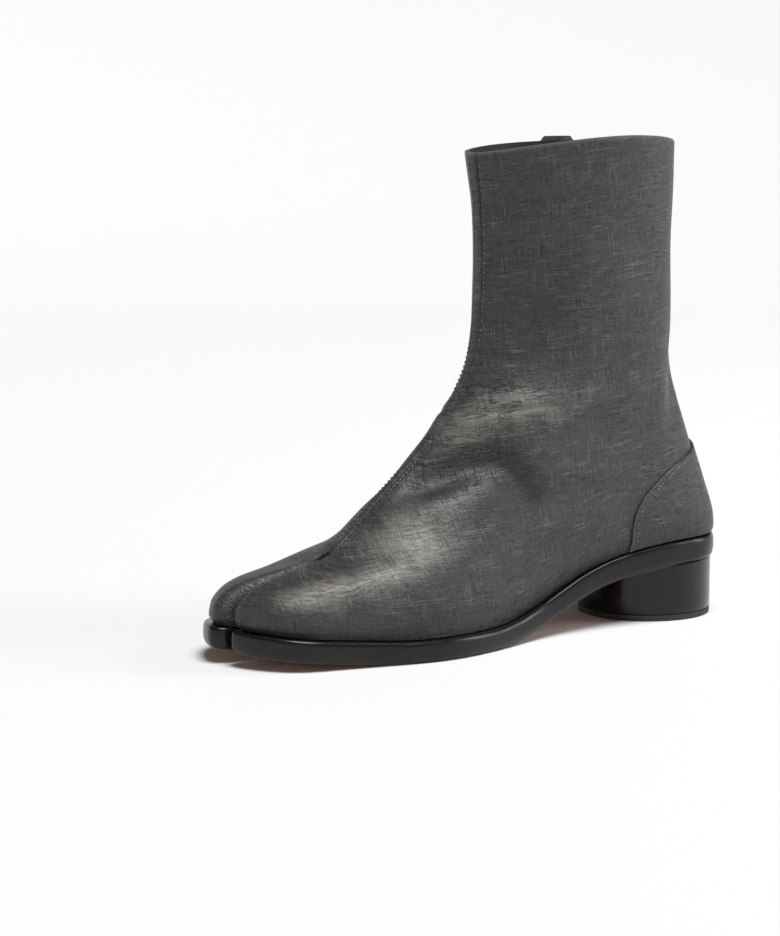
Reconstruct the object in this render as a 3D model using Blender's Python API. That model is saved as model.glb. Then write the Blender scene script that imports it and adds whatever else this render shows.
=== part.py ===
"""Split-toe leather ankle boot, left foot, on a low round heel.

The boot stands on its sole. The origin is the centre of the heel's base on the floor, +X runs to the
toe, +Y to the outer (little toe) side and +Z up. Sizes are millimetres until a mesh is made.
Every form is read from one last surface: closed rings that climb from the feather line, where the
upper meets the sole, to the collar. A ring's angle is 0 at the back and pi at the front, on the
outer side (+1) and on the inner side (-1) alike.
"""
import math

import bmesh
import bpy
import numpy as np

MM = 0.001
OUTER = 1
INNER = -1

# Gaps that part touching pieces
SEAT_GAP = 0.3
OVERLAY_GAP = 0.6
MERGE_DISTANCE = 0.004

# Leather thicknesses
WALL = 2.2
COUNTER_THICK = 0.9
FLAP_THICK = 1.2
INSOLE_THICK = 2.6

# Sole stack, from the top down
WELT_THICK = 2.4
OUTSOLE_THICK = 4.2
HEEL_RADIUS = 33.5
TOP_LIFT_THICK = 3.0
HEEL_BEVEL = 0.8

# Height of the sole's underside and top along the boot
SOLE_COLUMNS = ("x", "bottom", "top")
SOLE = np.array([
    (-38.0, 29.6, 41.6),
    (-17.0, 29.2, 41.2),
    (9.0, 27.8, 39.9),
    (33.0, 25.0, 36.9),
    (48.0, 21.8, 33.6),
    (63.0, 16.8, 28.6),
    (77.0, 11.0, 22.4),
    (92.0, 5.4, 16.2),
    (108.0, 1.6, 12.0),
    (124.0, 0.0, 10.3),
    (166.0, 0.0, 10.2),
    (203.0, 2.2, 12.7),
    (225.0, 4.5, 14.9),
    (252.0, 7.4, 17.8),
])

# Profile of the last: one row a ring, from the feather line to the collar
PROFILE_COLUMNS = ("back_x", "back_z", "front_x", "front_z")
PROFILE = np.array([
    (-32.6, 41.6, 241.3, 16.4),
    (-33.4, 46.0, 244.2, 20.5),
    (-32.9, 50.5, 243.8, 25.3),
    (-31.5, 56.0, 240.0, 30.7),
    (-29.5, 62.0, 232.8, 35.1),
    (-27.2, 68.5, 221.5, 38.4),
    (-24.8, 75.0, 208.5, 41.3),
    (-22.3, 82.0, 197.0, 44.0),
    (-19.3, 90.0, 184.5, 49.4),
    (-15.4, 100.0, 166.0, 66.0),
    (-11.3, 111.0, 147.0, 82.5),
    (-7.9, 123.0, 129.5, 98.5),
    (-6.3, 136.0, 116.0, 116.8),
    (-5.8, 151.0, 107.5, 135.0),
    (-5.7, 168.0, 104.0, 155.0),
    (-5.7, 190.0, 103.0, 180.0),
    (-5.9, 213.0, 103.8, 205.0),
    (-6.6, 237.5, 107.0, 231.5),
])
LAST_RING = len(PROFILE) - 1

# Half widths of the last at six places along a ring, each a share of the way from back to front
PLACES = np.array([0.03, 0.13, 0.40, 0.68, 0.88, 0.97])
WIDTH_COLUMNS = ("ring", "back", "heel", "waist", "ball", "toe", "tip")
OUTER_WIDTHS = np.array([
    (0, 22.2, 32.6, 30.0, 45.5, 36.0, 23.6),
    (2, 22.8, 33.5, 35.0, 47.0, 36.8, 23.8),
    (5, 20.4, 32.0, 37.0, 43.0, 32.6, 19.6),
    (8, 17.0, 29.2, 36.0, 37.5, 27.0, 14.5),
    (10, 15.0, 28.0, 35.0, 33.0, 21.5, 10.0),
    (12, 14.0, 27.5, 35.0, 32.0, 19.0, 8.5),
    (14, 14.0, 27.5, 36.0, 33.0, 19.5, 9.0),
    (17, 14.0, 28.0, 38.8, 35.5, 22.5, 10.8),
])
INNER_WIDTHS = np.array([
    (0, 22.2, 32.6, 25.0, 42.0, 36.6, 24.8),
    (2, 22.8, 33.3, 30.0, 43.0, 36.6, 24.4),
    (5, 20.4, 31.8, 34.0, 39.0, 31.4, 19.0),
    (8, 17.0, 29.2, 34.0, 34.0, 23.0, 12.0),
    (10, 15.0, 28.0, 34.0, 31.0, 19.0, 9.0),
    (12, 14.0, 27.5, 34.0, 31.0, 17.5, 7.8),
    (14, 14.0, 27.5, 35.0, 32.5, 19.0, 8.6),
    (17, 14.0, 28.0, 38.8, 35.5, 22.5, 10.8),
])
FRONT_Y = -3.0
BIG_TOE_LEAD = 4.0
SAG_RINGS = 9.35
SAG_POWER = 1.6
COLLAR_RISE = {OUTER: 5.0, INNER: 1.5}
COLLAR_RISE_RINGS = (11.5, 17.0)

# Cleft between the toes: half gap and edge radii from the tip (ring 0) to the hole at its end
CLEFT_COLUMNS = ("ring", "half_gap", "outer_radius", "inner_radius")
CLEFT = np.array([
    (0.0, 1.6, 6.5, 9.0),
    (3.0, 1.3, 6.0, 8.5),
    (5.0, 0.6, 4.5, 6.0),
    (6.3, 0.4, 3.0, 3.5),
    (7.2, 0.6, 2.2, 2.2),
    (7.7, 1.3, 1.3, 1.3),
])
HOLE_RING = 7.7
HOLE_RAMP = 0.25
LEAST_RADIUS = 0.5
SOLE_HALF_GAP = 1.4
SOLE_CLEFT_END = 186.0
SOLE_CORNER_SHARE = 0.6

# Raised seam up the front, a step in the upper's wall
SEAM_HEIGHT = 0.9
SEAM_HALF_WIDTH = 2.4

# How far the welt stands proud of the feather line, from heel to forefoot
WELT_OUT_COLUMNS = ("share", "out")
WELT_OUT = np.array([
    (0.0, 0.6),
    (0.22, 0.8),
    (0.55, 2.9),
    (1.0, 3.4),
])

# Edge of the heel counter: its angle from the back at each ring
COUNTER_COLUMNS = ("ring", "angle")
COUNTER = np.array([
    (0.1, 1.042),
    (2.76, 1.031),
    (4.25, 1.011),
    (5.40, 0.974),
    (6.25, 0.895),
    (7.06, 0.728),
    (7.48, 0.346),
    (7.75, 0.0),
])
RING_SPACING = 6.5

# Closing flap on the inner side: angles from the back, rings and the tab at its top
FLAP_FRONT_ANGLE = 1.40
FLAP_BACK_ANGLE = 0.30
FLAP_BOTTOM_RING = 9.4
FLAP_CORNER_RINGS = 2.2
FLAP_CORNER_START = 0.55
FLAP_TAB_RISE = 3.0
FLAP_TAB_ANGLE = 0.95

# Mesh fineness
SIDE_STEPS = 24
EDGE_STEPS = 3
DROP_STEPS = 2
SPLIT_ROWS = 11
SHAFT_ROWS = 13
SOLE_STATIONS = (-20, 0, 20, 33, 48, 63, 77, 92, 108, 124, 166, 185, 203, 225)
COUNTER_ROWS = 14
COUNTER_STEPS = 27
FLAP_ROWS = 12
FLAP_STEPS = 12
HEEL_SEGMENTS = 48

BLACK_LEATHER = ("distressed_leather", (0.058, 0.058, 0.064), 0.55)
PATCH_LEATHER = ("counter_leather", (0.055, 0.055, 0.061), 0.55)
BLACK_EDGE = ("burnished_edge", (0.012, 0.012, 0.012), 0.30)
TAN_LEATHER = ("sole_leather", (0.42, 0.20, 0.10), 0.55)
LINING = ("insole_leather", (0.16, 0.13, 0.10), 0.60)
HEEL_LACQUER = ("lacquered_heel", (0.010, 0.010, 0.010), 0.28)
RUBBER = ("top_lift_rubber", (0.015, 0.015, 0.015), 0.60)


def clear_scene():
    """Remove every object of the open file."""
    for scene_object in list(bpy.data.objects):
        bpy.data.objects.remove(scene_object, do_unlink=True)


def make_material(finish):
    """Principled material from a finish: name, linear colour and roughness."""
    name, colour, roughness = finish
    material = bpy.data.materials.new(name)
    material.use_nodes = True
    shader = material.node_tree.nodes["Principled BSDF"]
    shader.inputs["Base Color"].default_value = (*colour, 1.0)
    shader.inputs["Roughness"].default_value = roughness
    shader.inputs["Metallic"].default_value = 0.0
    return material


def monotone(x, xs, ys):
    """Cubic curve through the points (xs, ys) that never overshoots them."""
    step = np.diff(xs)
    slope = np.diff(ys) / step
    weight_a = 2 * step[1:] + step[:-1]
    weight_b = step[1:] + 2 * step[:-1]
    product = slope[:-1] * slope[1:]
    same_way = product > 0
    bottom = weight_a * slope[1:] + weight_b * slope[:-1]
    inner = np.where(same_way, (weight_a + weight_b) * product / np.where(same_way, bottom, 1.0), 0.0)
    tangent = np.concatenate([slope[:1], inner, slope[-1:]])
    x = np.clip(x, xs[0], xs[-1])
    i = np.clip(np.searchsorted(xs, x, side="right") - 1, 0, len(xs) - 2)
    t = (x - xs[i]) / step[i]
    rise = t * t * (3 - 2 * t)
    leave = t * (1 - t) ** 2 * step[i] * tangent[i]
    arrive = t * t * (t - 1) * step[i] * tangent[i + 1]
    return ys[i] * (1 - rise) + ys[i + 1] * rise + leave + arrive


def column(table, columns, name, key):
    """Value of a named column at a key, where the table's first column holds the keys."""
    return monotone(key, table[:, 0], table[:, columns.index(name)])


def smooth(t):
    """Ease from 0 to 1 as t runs from 0 to 1."""
    t = np.clip(t, 0.0, 1.0)
    return t * t * (3 - 2 * t)


def sole_height(x, name):
    """Height of the sole's top or bottom at x."""
    return column(SOLE, SOLE_COLUMNS, name, x)


def profile(ring, name):
    """A column of the last's profile at a ring number."""
    return monotone(ring, np.arange(len(PROFILE), dtype=float), PROFILE[:, PROFILE_COLUMNS.index(name)])


def half_width(ring, share, side):
    """Half width of the last before it is rounded off, at a share of the way along a ring.

    The table's widths are divided by the circle's own half width there, 2 sqrt(p (1 - p)), and a
    cubic with averaged slopes runs through the six places, level at both ends.
    """
    table = OUTER_WIDTHS if side == OUTER else INNER_WIDTHS
    circle = 2 * np.sqrt(PLACES * (1 - PLACES))
    widths = [monotone(ring, table[:, 0], table[:, k + 1]) / circle[k] for k in range(len(PLACES))]
    values = np.stack([widths[0], *widths, widths[-1]], axis=-1)
    knots = np.concatenate([[0.0], PLACES, [1.0]])
    step = np.diff(knots)
    slope = np.diff(values, axis=-1) / step
    middle = (slope[..., :-1] * step[1:] + slope[..., 1:] * step[:-1]) / (step[1:] + step[:-1])
    level = np.zeros_like(middle[..., :1])
    tangent = np.concatenate([level, middle, level], axis=-1)
    i = np.clip(np.searchsorted(knots, share, side="right") - 1, 0, len(knots) - 2)
    t = (share - knots[i]) / step[i]
    start, end = (np.take_along_axis(values, (i + k)[..., None], -1)[..., 0] for k in (0, 1))
    leave, arrive = (np.take_along_axis(tangent, (i + k)[..., None], -1)[..., 0] for k in (0, 1))
    rise = t * t * (3 - 2 * t)
    bend = t * (1 - t) ** 2 * leave + t * t * (t - 1) * arrive
    return start * (1 - rise) + end * rise + bend * step[i]


def last_surface(ring, angle, side):
    """Point of the last at a ring number and an angle from the back, on one side.

    x runs between the ring's back and front as (1 - cos angle) / 2, y is the half width times the
    sine, and z is the chord from back to front, sagged to the sole near the feather line and
    lifted at the collar.
    """
    ring, angle = np.broadcast_arrays(np.asarray(ring, float), np.asarray(angle, float))
    share = (1 - np.cos(angle)) / 2
    front_x = profile(ring, "front_x")
    if side == INNER:
        front_x = front_x + BIG_TOE_LEAD * (1 - smooth(ring / HOLE_RING))
    back_x = profile(ring, "back_x")
    back_z = profile(ring, "back_z")
    front_z = profile(ring, "front_z")
    x = back_x + (front_x - back_x) * share
    y = FRONT_Y * share + side * half_width(ring, share, side) * np.sin(angle)
    feather_x = PROFILE[0, 0] + (PROFILE[0, 2] - PROFILE[0, 0]) * share
    feather_chord = PROFILE[0, 1] + (PROFILE[0, 3] - PROFILE[0, 1]) * share
    sag = sole_height(feather_x, "top") - feather_chord
    fade = np.clip(1 - ring / SAG_RINGS, 0, 1) ** SAG_POWER
    start, end = COLLAR_RISE_RINGS
    rise = COLLAR_RISE[side] * smooth((ring - start) / (end - start)) * 4 * share * (1 - share)
    z = back_z + (front_z - back_z) * share + sag * fade + rise + SEAT_GAP
    return np.stack([x, y, z], axis=-1)


def last_normal(ring, angle, side):
    """Outward unit normal of the last, from central differences."""
    ring, angle = np.broadcast_arrays(np.asarray(ring, float), np.asarray(angle, float))
    nudge = 1e-3
    low_ring, high_ring = np.clip(ring - nudge, 0, LAST_RING), np.clip(ring + nudge, 0, LAST_RING)
    along = last_surface(ring, angle + nudge, side) - last_surface(ring, angle - nudge, side)
    up = last_surface(high_ring, angle, side) - last_surface(low_ring, angle, side)
    normal = np.cross(up, along) * side
    return normal / np.linalg.norm(normal, axis=-1, keepdims=True)


def skin(ring, angle, side, depth):
    """Point at a depth under the last's surface; the feather ring stays on the sole."""
    point = last_surface(ring, angle, side) - depth * last_normal(ring, angle, side)
    on_sole = sole_height(point[..., 0], "top") + SEAT_GAP
    at_feather = np.broadcast_to(np.asarray(ring, float), point.shape[:-1]) <= 0
    point[..., 2] = np.where(at_feather, on_sole, point[..., 2])
    return point


def angle_at(ring, side, depth, distance):
    """Angle at which a skin lies a distance from the boot's middle line, near the front."""
    samples = np.linspace(math.pi * 0.6, math.pi, 160)
    result = np.empty(len(ring))
    for k, one_ring in enumerate(ring):
        points = skin(np.full(samples.shape, one_ring), samples, side, depth)
        middle = FRONT_Y * (1 - np.cos(samples)) / 2
        gap = (points[:, 1] - middle) * side
        result[k] = np.interp(-distance[k], -gap, samples)
    return result


def cleft(ring, name):
    """A column of the cleft's table, held at its ends."""
    return column(CLEFT, CLEFT_COLUMNS, name, ring)


def upper_side(rings, split_rows, side, depth):
    """Grid of one side of the upper and the wall of its toe cleft.

    Each row follows a ring from the back to the cleft's edge, then a quarter circle about that
    edge. The wall drops straight from there to the sole. Past the hole the rows run on over the
    front, where the seam's ridge stands.
    """
    name = "outer_radius" if side == OUTER else "inner_radius"
    half_gap = cleft(rings, "half_gap") + depth
    radius = np.maximum(cleft(rings, name) - depth, LEAST_RADIUS)
    if depth == 0:
        radius = np.where(rings > HOLE_RING, SEAM_HALF_WIDTH - half_gap, radius)
    turn = np.linspace(0, math.pi / 2, EDGE_STEPS + 1)
    edge_angle = angle_at(rings, side, depth, half_gap + radius)
    side_angles = edge_angle[:, None] * np.linspace(0, 1, SIDE_STEPS + 1)[None, :]
    body = skin(rings[:, None] + 0 * side_angles, side_angles, side, depth)
    sunk = np.clip((HOLE_RING + HOLE_RAMP - rings) / HOLE_RAMP, 0, 1)
    forward = last_normal(rings, np.full(rings.shape, math.pi), side)
    down = -np.stack([forward[:, 0], 0 * forward[:, 0], np.maximum(forward[:, 2], 0)], axis=-1)
    down /= np.linalg.norm(down, axis=-1, keepdims=True)
    edges = []
    for angle_turned in turn[1:]:
        distance = half_gap + radius * (1 - math.sin(angle_turned))
        along = angle_at(rings, side, depth, distance)
        point = skin(rings, along, side, depth)
        sink = radius * (1 - math.cos(angle_turned)) * sunk
        lift = 0.0
        if depth == 0:
            lift = SEAM_HEIGHT * smooth(2 * (1 - distance / SEAM_HALF_WIDTH)) * (1 - sunk)
        point = point + down * (sink - lift)[:, None]
        point[0, 2] = sole_height(point[0, 0], "top") + SEAT_GAP
        edges.append(point)
    grid = np.concatenate([body, np.stack(edges, axis=1)], axis=1)
    top = grid[:split_rows, -1]
    floor = sole_height(top[:, 0], "top") + SEAT_GAP
    drops = []
    for share in np.linspace(0, 1, DROP_STEPS + 1)[1:]:
        point = top.copy()
        point[:, 2] = top[:, 2] * (1 - share) + floor * share
        drops.append(point)
    return grid, np.stack(drops, axis=1)


def upper_skin(depth):
    """Points of one skin of the upper with index grids for its shell, walls and rim.

    Returns the points, the grid of shell indices (rows by columns, outer cleft edge round the back
    to the inner one) and the two grids of wall indices (rows by drops).
    """
    hole = HOLE_RING + (0.12 if depth > 0 else 0.0)
    split = np.append(np.linspace(0, HOLE_RING - 0.4, SPLIT_ROWS - 1), hole)
    shaft = np.append(hole + HOLE_RAMP, np.linspace(HOLE_RING + 1.1, LAST_RING, SHAFT_ROWS - 1))
    rings = np.concatenate([split, shaft])
    outer_grid, outer_drop = upper_side(rings, SPLIT_ROWS, OUTER, depth)
    inner_grid, inner_drop = upper_side(rings, SPLIT_ROWS, INNER, depth)
    shell = np.concatenate([outer_grid[:, ::-1], inner_grid[:, 1:]], axis=1)
    rows, columns = shell.shape[:2]
    points = np.concatenate([shell.reshape(-1, 3), outer_drop.reshape(-1, 3), inner_drop.reshape(-1, 3)])
    index = np.arange(rows * columns).reshape(rows, columns)
    outer_index = rows * columns + np.arange(SPLIT_ROWS * DROP_STEPS).reshape(SPLIT_ROWS, DROP_STEPS)
    inner_index = outer_index + SPLIT_ROWS * DROP_STEPS
    outer_wall = np.concatenate([index[:SPLIT_ROWS, :1], outer_index], axis=1)
    inner_wall = np.concatenate([index[:SPLIT_ROWS, -1:], inner_index], axis=1)
    return points, index, outer_wall, inner_wall


def grid_faces(index):
    """Quads of an index grid, wound so that rows x columns faces the same way as the grid."""
    a, b = index[:-1, :-1], index[:-1, 1:]
    c, d = index[1:, 1:], index[1:, :-1]
    return np.stack([a, b, c, d], axis=-1).reshape(-1, 4)


def skin_faces(index, outer_wall, inner_wall):
    """Faces of one skin: shell, bridge over the front, the two walls and the end of the cleft."""
    hole_row = outer_wall.shape[0] - 1
    bridge = np.stack([index[hole_row:, -1], index[hole_row:, 0]], axis=1)
    end = np.stack([inner_wall[hole_row], outer_wall[hole_row]], axis=0)
    return np.concatenate([
        grid_faces(index),
        grid_faces(bridge),
        grid_faces(outer_wall[:, ::-1]),
        grid_faces(inner_wall),
        grid_faces(end),
    ])


def open_loops(index, outer_wall, inner_wall):
    """Vertex indices of the collar's rim and of the edge along the sole, each a closed loop."""
    rim = np.append(index[-1], index[-1, 0])
    foot = np.concatenate([outer_wall[::-1, -1], index[0, 1:-1], inner_wall[:, -1]])
    foot = np.append(foot, foot[0])
    return rim, foot


def new_object(name, points, faces, finish):
    """Make an object from points in millimetres, merged, with its faces turned outward."""
    mesh = bpy.data.meshes.new(name)
    mesh.from_pydata((np.asarray(points) * MM).tolist(), [], [list(map(int, face)) for face in faces])
    shape = bmesh.new()
    shape.from_mesh(mesh)
    bmesh.ops.remove_doubles(shape, verts=shape.verts, dist=MERGE_DISTANCE * MM)
    bmesh.ops.dissolve_degenerate(shape, edges=shape.edges, dist=MERGE_DISTANCE * MM / 4)
    bmesh.ops.triangulate(shape, faces=shape.faces)
    bmesh.ops.recalc_face_normals(shape, faces=shape.faces)
    shape.to_mesh(mesh)
    shape.free()
    mesh.materials.append(make_material(finish))
    mesh.shade_smooth()
    mesh.set_sharp_from_angle(angle=math.radians(50))
    scene_object = bpy.data.objects.new(name, mesh)
    bpy.context.collection.objects.link(scene_object)
    return scene_object


def build_upper():
    """The upper: one leather shell, open at the collar and underneath, cleft at the toe."""
    outside = upper_skin(0.0)
    inside = upper_skin(WALL)
    count = len(outside[0])
    outer_faces = skin_faces(*outside[1:])
    inner_faces = skin_faces(*inside[1:])[:, ::-1] + count
    seams = []
    for outer_loop, inner_loop in zip(open_loops(*outside[1:]), open_loops(*inside[1:])):
        seams.append(grid_faces(np.stack([inner_loop + count, outer_loop], axis=0)))
    points = np.concatenate([outside[0], inside[0]])
    faces = np.concatenate([outer_faces, inner_faces, *seams])
    return new_object("upper", points, faces, BLACK_LEATHER)


def overlay(name, angles, rings, side_of, finish, thick, rise=0.0):
    """Thin patch on the upper: grids of angle and ring, lofted at two heights over the last."""
    below = np.empty((*angles.shape, 3))
    above = np.empty((*angles.shape, 3))
    for side in (OUTER, INNER):
        here = side_of == side
        for target, lift in ((below, OVERLAY_GAP), (above, OVERLAY_GAP + thick)):
            point = last_surface(rings[here], angles[here], side)
            target[here] = point + lift * last_normal(rings[here], angles[here], side)
    points = np.stack([below, above])
    points[..., 2] += rise
    index = np.arange(angles.size).reshape(angles.shape)
    over = index + angles.size
    border = np.concatenate([index[0, :-1], index[:-1, -1], index[-1, :0:-1], index[:0:-1, 0]])
    border = np.append(border, border[0])
    side_faces = grid_faces(np.stack([border, border + angles.size], axis=0))
    faces = np.concatenate([grid_faces(index)[:, ::-1], grid_faces(over), side_faces])
    return new_object(name, points.reshape(-1, 3), faces, finish)


def build_counter():
    """Heel counter: a patch round the back of the heel with a peak up the back.

    Its rows are equal steps along its edge, so that none spans a wide arc near the peak.
    """
    fine = np.linspace(COUNTER[0, 0], COUNTER[-1, 0], 600)
    fine_edge = column(COUNTER, COUNTER_COLUMNS, "angle", fine)
    step = np.hypot(np.diff(fine) * RING_SPACING, np.diff(fine_edge) * HEEL_RADIUS)
    length = np.concatenate([[0.0], np.cumsum(step)])
    ring = np.interp(np.linspace(0, length[-1], COUNTER_ROWS), length, fine)
    edge = column(COUNTER, COUNTER_COLUMNS, "angle", ring)
    across = np.linspace(-1, 1, COUNTER_STEPS)
    angles = edge[:, None] * np.abs(across)[None, :]
    rings = ring[:, None] + 0 * angles
    sides = np.broadcast_to(np.where(across >= 0, OUTER, INNER)[None, :], rings.shape)
    return overlay("heel_counter", angles, rings, sides, PATCH_LEATHER, COUNTER_THICK)


def build_flap():
    """Closing flap that laps over the inner side of the shaft, with a small tab over the collar."""
    across = np.linspace(0, 1, FLAP_STEPS)
    angle = FLAP_BACK_ANGLE + (FLAP_FRONT_ANGLE - FLAP_BACK_ANGLE) * across
    corner = np.clip((across - FLAP_CORNER_START) / (1 - FLAP_CORNER_START), 0, 1)
    bottom = FLAP_BOTTOM_RING + FLAP_CORNER_RINGS * (1 - np.sqrt(1 - corner ** 2))
    climb = np.linspace(0, 1, FLAP_ROWS)[:, None]
    rings = bottom[None, :] + (LAST_RING - bottom[None, :]) * climb
    angles = np.broadcast_to(angle[None, :], rings.shape)
    sides = np.full(rings.shape, INNER)
    rise = np.where((climb == 1) & (angle > FLAP_TAB_ANGLE), FLAP_TAB_RISE, 0.0)
    return overlay("closing_flap", angles, rings, sides, BLACK_LEATHER, FLAP_THICK, rise)


def plan_loop(out, half_gap, cleft_end, corner_share):
    """Closed outline in plan, a distance outside the feather line, with the toe cleft cut in.

    It runs from the cleft's end along its outer wall, round the outer side, the heel and the inner
    side, and back along the inner wall. The corners at the mouth are rounded by a share of the
    upper's own radius there.
    """
    halves = []
    for side, radius_name in ((OUTER, "outer_radius"), (INNER, "inner_radius")):
        samples = np.linspace(0, math.pi, 400)
        line = last_surface(np.zeros(samples.shape), samples, side)[:, :2]
        tangent = np.gradient(line, axis=0)
        normal = np.stack([-tangent[:, 1], tangent[:, 0]], axis=-1) * side
        normal /= np.linalg.norm(normal, axis=-1, keepdims=True)
        share = (1 - np.cos(samples)) / 2
        line = line + normal * (out(share))[:, None]
        gap = (line[:, 1] - FRONT_Y * share) * side
        front = samples > math.pi * 0.6
        lobe_radius = CLEFT[0, CLEFT_COLUMNS.index(radius_name)] * corner_share
        radius = max(lobe_radius + float(out(1.0)) / 2, LEAST_RADIUS)
        start = np.interp(-(half_gap + radius), -gap[front], samples[front])
        angles = np.linspace(0, start, SIDE_STEPS + 1)
        body = np.stack([np.interp(angles, samples, line[:, k]) for k in (0, 1)], axis=-1)
        corner = []
        for turned in np.linspace(0, math.pi / 2, EDGE_STEPS + 3)[1:]:
            distance = half_gap + radius * (1 - math.sin(turned))
            at = np.interp(-distance, -gap[front], samples[front])
            x = np.interp(at, samples, line[:, 0]) - radius * (1 - math.cos(turned))
            corner.append((x, FRONT_Y * (1 - math.cos(at)) / 2 + side * distance))
        wall_x = np.linspace(corner[-1][0], cleft_end, 7)[1:]
        wall = np.stack([wall_x, FRONT_Y + side * half_gap + 0 * wall_x], axis=-1)
        halves.append(np.concatenate([body, np.array(corner), wall]))
    return np.concatenate([halves[0][::-1], halves[1][1:]])


def slab(name, levels, half_gap, cleft_end, corner_share, finish):
    """Flat piece of the sole: outline loops at several levels, capped and bent to the sole's line.

    Each level is a distance outside the feather line and a height function of x. The caps are cut
    across at the stations, so that they follow the bend between heel and toe.
    """
    shape = bmesh.new()
    layer = shape.verts.layers.float.new("level")
    loops = []
    for number, (out, _) in enumerate(levels):
        loop = []
        for x, y in plan_loop(out, half_gap, cleft_end, corner_share):
            vertex = shape.verts.new((x, y, number))
            vertex[layer] = number
            loop.append(vertex)
        loops.append(loop)
    for low, high in zip(loops[:-1], loops[1:]):
        for k in range(len(low)):
            after = (k + 1) % len(low)
            shape.faces.new((low[k], low[after], high[after], high[k]))
    shape.faces.new(loops[0][::-1])
    shape.faces.new(loops[-1])
    for x in SOLE_STATIONS:
        geometry = shape.verts[:] + shape.edges[:] + shape.faces[:]
        bmesh.ops.bisect_plane(shape, geom=geometry, dist=1e-5, plane_co=(x, 0, 0), plane_no=(1, 0, 0))
    bmesh.ops.triangulate(shape, faces=shape.faces)
    shape.verts.ensure_lookup_table()
    points = np.array([vertex.co[:] for vertex in shape.verts])
    lower = np.clip(np.floor(points[:, 2] + 1e-6).astype(int), 0, len(levels) - 2)
    part = points[:, 2] - lower
    heights = np.stack([height(points[:, 0]) for _, height in levels], axis=-1)
    take = np.arange(len(points))
    points[:, 2] = heights[take, lower] * (1 - part) + heights[take, lower + 1] * part
    faces = [[vertex.index for vertex in face.verts] for face in shape.faces]
    shape.free()
    return new_object(name, points, faces, finish)


def welt_out(extra):
    """Distance of the sole's edge outside the feather line, as a function of the share."""
    return lambda share: column(WELT_OUT, WELT_OUT_COLUMNS, "out", share) + extra


def between(share_down, drop):
    """Height at a share of the way down the sole, less a fixed drop."""
    def height(x):
        top = sole_height(x, "top")
        return top + (sole_height(x, "bottom") - top) * share_down - drop
    return height


def build_sole():
    """Welt, midsole and outsole, one on the other, with their edges rounded as one."""
    total = float(SOLE[-5, 2] - SOLE[-5, 1])
    welt_share = WELT_THICK / total
    outsole_share = 1 - OUTSOLE_THICK / total
    slab("welt", [
        (welt_out(0.0), between(welt_share, 0.0)),
        (welt_out(0.0), between(0.5 * welt_share, 0.0)),
        (welt_out(-0.7), between(0.0, 0.0)),
    ], SOLE_HALF_GAP, SOLE_CLEFT_END, SOLE_CORNER_SHARE, BLACK_EDGE)
    slab("midsole", [
        (welt_out(1.2), between(outsole_share, 0.0)),
        (welt_out(1.5), between(0.5 * (welt_share + outsole_share), 0.0)),
        (welt_out(0.7), between(welt_share, SEAT_GAP)),
    ], SOLE_HALF_GAP, SOLE_CLEFT_END, SOLE_CORNER_SHARE, BLACK_EDGE)
    slab("outsole", [
        (welt_out(-1.4), between(1.0, 0.0)),
        (welt_out(0.2), between(0.93, 0.0)),
        (welt_out(1.0), between(outsole_share, SEAT_GAP)),
    ], SOLE_HALF_GAP, SOLE_CLEFT_END, SOLE_CORNER_SHARE, TAN_LEATHER)


def build_insole():
    """Insole board and sock, inside the upper and on the welt."""
    inside = WALL + 0.5
    def out(share):
        return -inside + 0.0 * share
    def on_welt(x):
        return sole_height(x, "top") + SEAT_GAP
    def top(x):
        return sole_height(x, "top") + SEAT_GAP + INSOLE_THICK
    half_gap = float(cleft(0.0, "half_gap")) + inside
    slab("insole", [(out, on_welt), (out, top)], half_gap, SOLE_CLEFT_END - 1.0, 1.0, LINING)


def turned(name, profile_points, top_of, finish):
    """Round piece about the origin: rings of (radius, height), the last one bent to a height."""
    angles = np.linspace(0, 2 * math.pi, HEEL_SEGMENTS, endpoint=False)
    rows = []
    for radius, height in profile_points:
        x, y = radius * np.cos(angles), radius * np.sin(angles)
        z = top_of(x) if height is None else np.full(x.shape, height)
        rows.append(np.stack([x, y, z], axis=-1))
    points = np.concatenate(rows)
    index = np.arange(len(points)).reshape(len(rows), -1)
    closed = np.concatenate([index, index[:, :1]], axis=1)
    faces = [list(face) for face in grid_faces(closed)]
    half = HEEL_SEGMENTS // 2
    for row, flip in ((index[0], True), (index[-1], False)):
        for k in range(half):
            corners = [row[k], row[k + 1], row[-k - 1], row[-k]] if k else [row[0], row[1], row[-1]]
            if k + 1 == half:
                corners = [row[k], row[half], row[-k]]
            faces.append(corners[::-1] if flip else corners)
    return new_object(name, points, faces, finish)


def build_heel():
    """Round heel block under the seat and its thin rubber top lift on the floor."""
    under_sole = lambda x: sole_height(x, "bottom") - SEAT_GAP
    base = TOP_LIFT_THICK + SEAT_GAP
    turned("heel_block", [
        (HEEL_RADIUS, base),
        (HEEL_RADIUS, None),
    ], under_sole, HEEL_LACQUER)
    turned("heel_top_lift", [
        (HEEL_RADIUS - HEEL_BEVEL, 0.0),
        (HEEL_RADIUS - 0.2, HEEL_BEVEL),
        (HEEL_RADIUS - 0.2, TOP_LIFT_THICK),
    ], under_sole, RUBBER)


def main():
    """Build the whole boot."""
    clear_scene()
    build_upper()
    build_counter()
    build_flap()
    build_insole()
    build_sole()
    build_heel()


main()
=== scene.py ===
"""Split-toe leather ankle boot, left foot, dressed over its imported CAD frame.

Sizes are millimetres until a mesh is made. The origin is the centre of the heel's base on the floor,
+X runs to the toe, +Y to the outer side and +Z up. Every leather form is read from one last: closed
rings climb from the feather line, where the upper meets the sole, to the collar, and a ring's angle
is 0 at the back and pi at the front, on the outer and the inner side alike.
"""
import logging
import math
from dataclasses import dataclass, field
from enum import Enum
from typing import Callable, Sequence

import bpy
import numpy as np
from mathutils import Matrix

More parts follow.
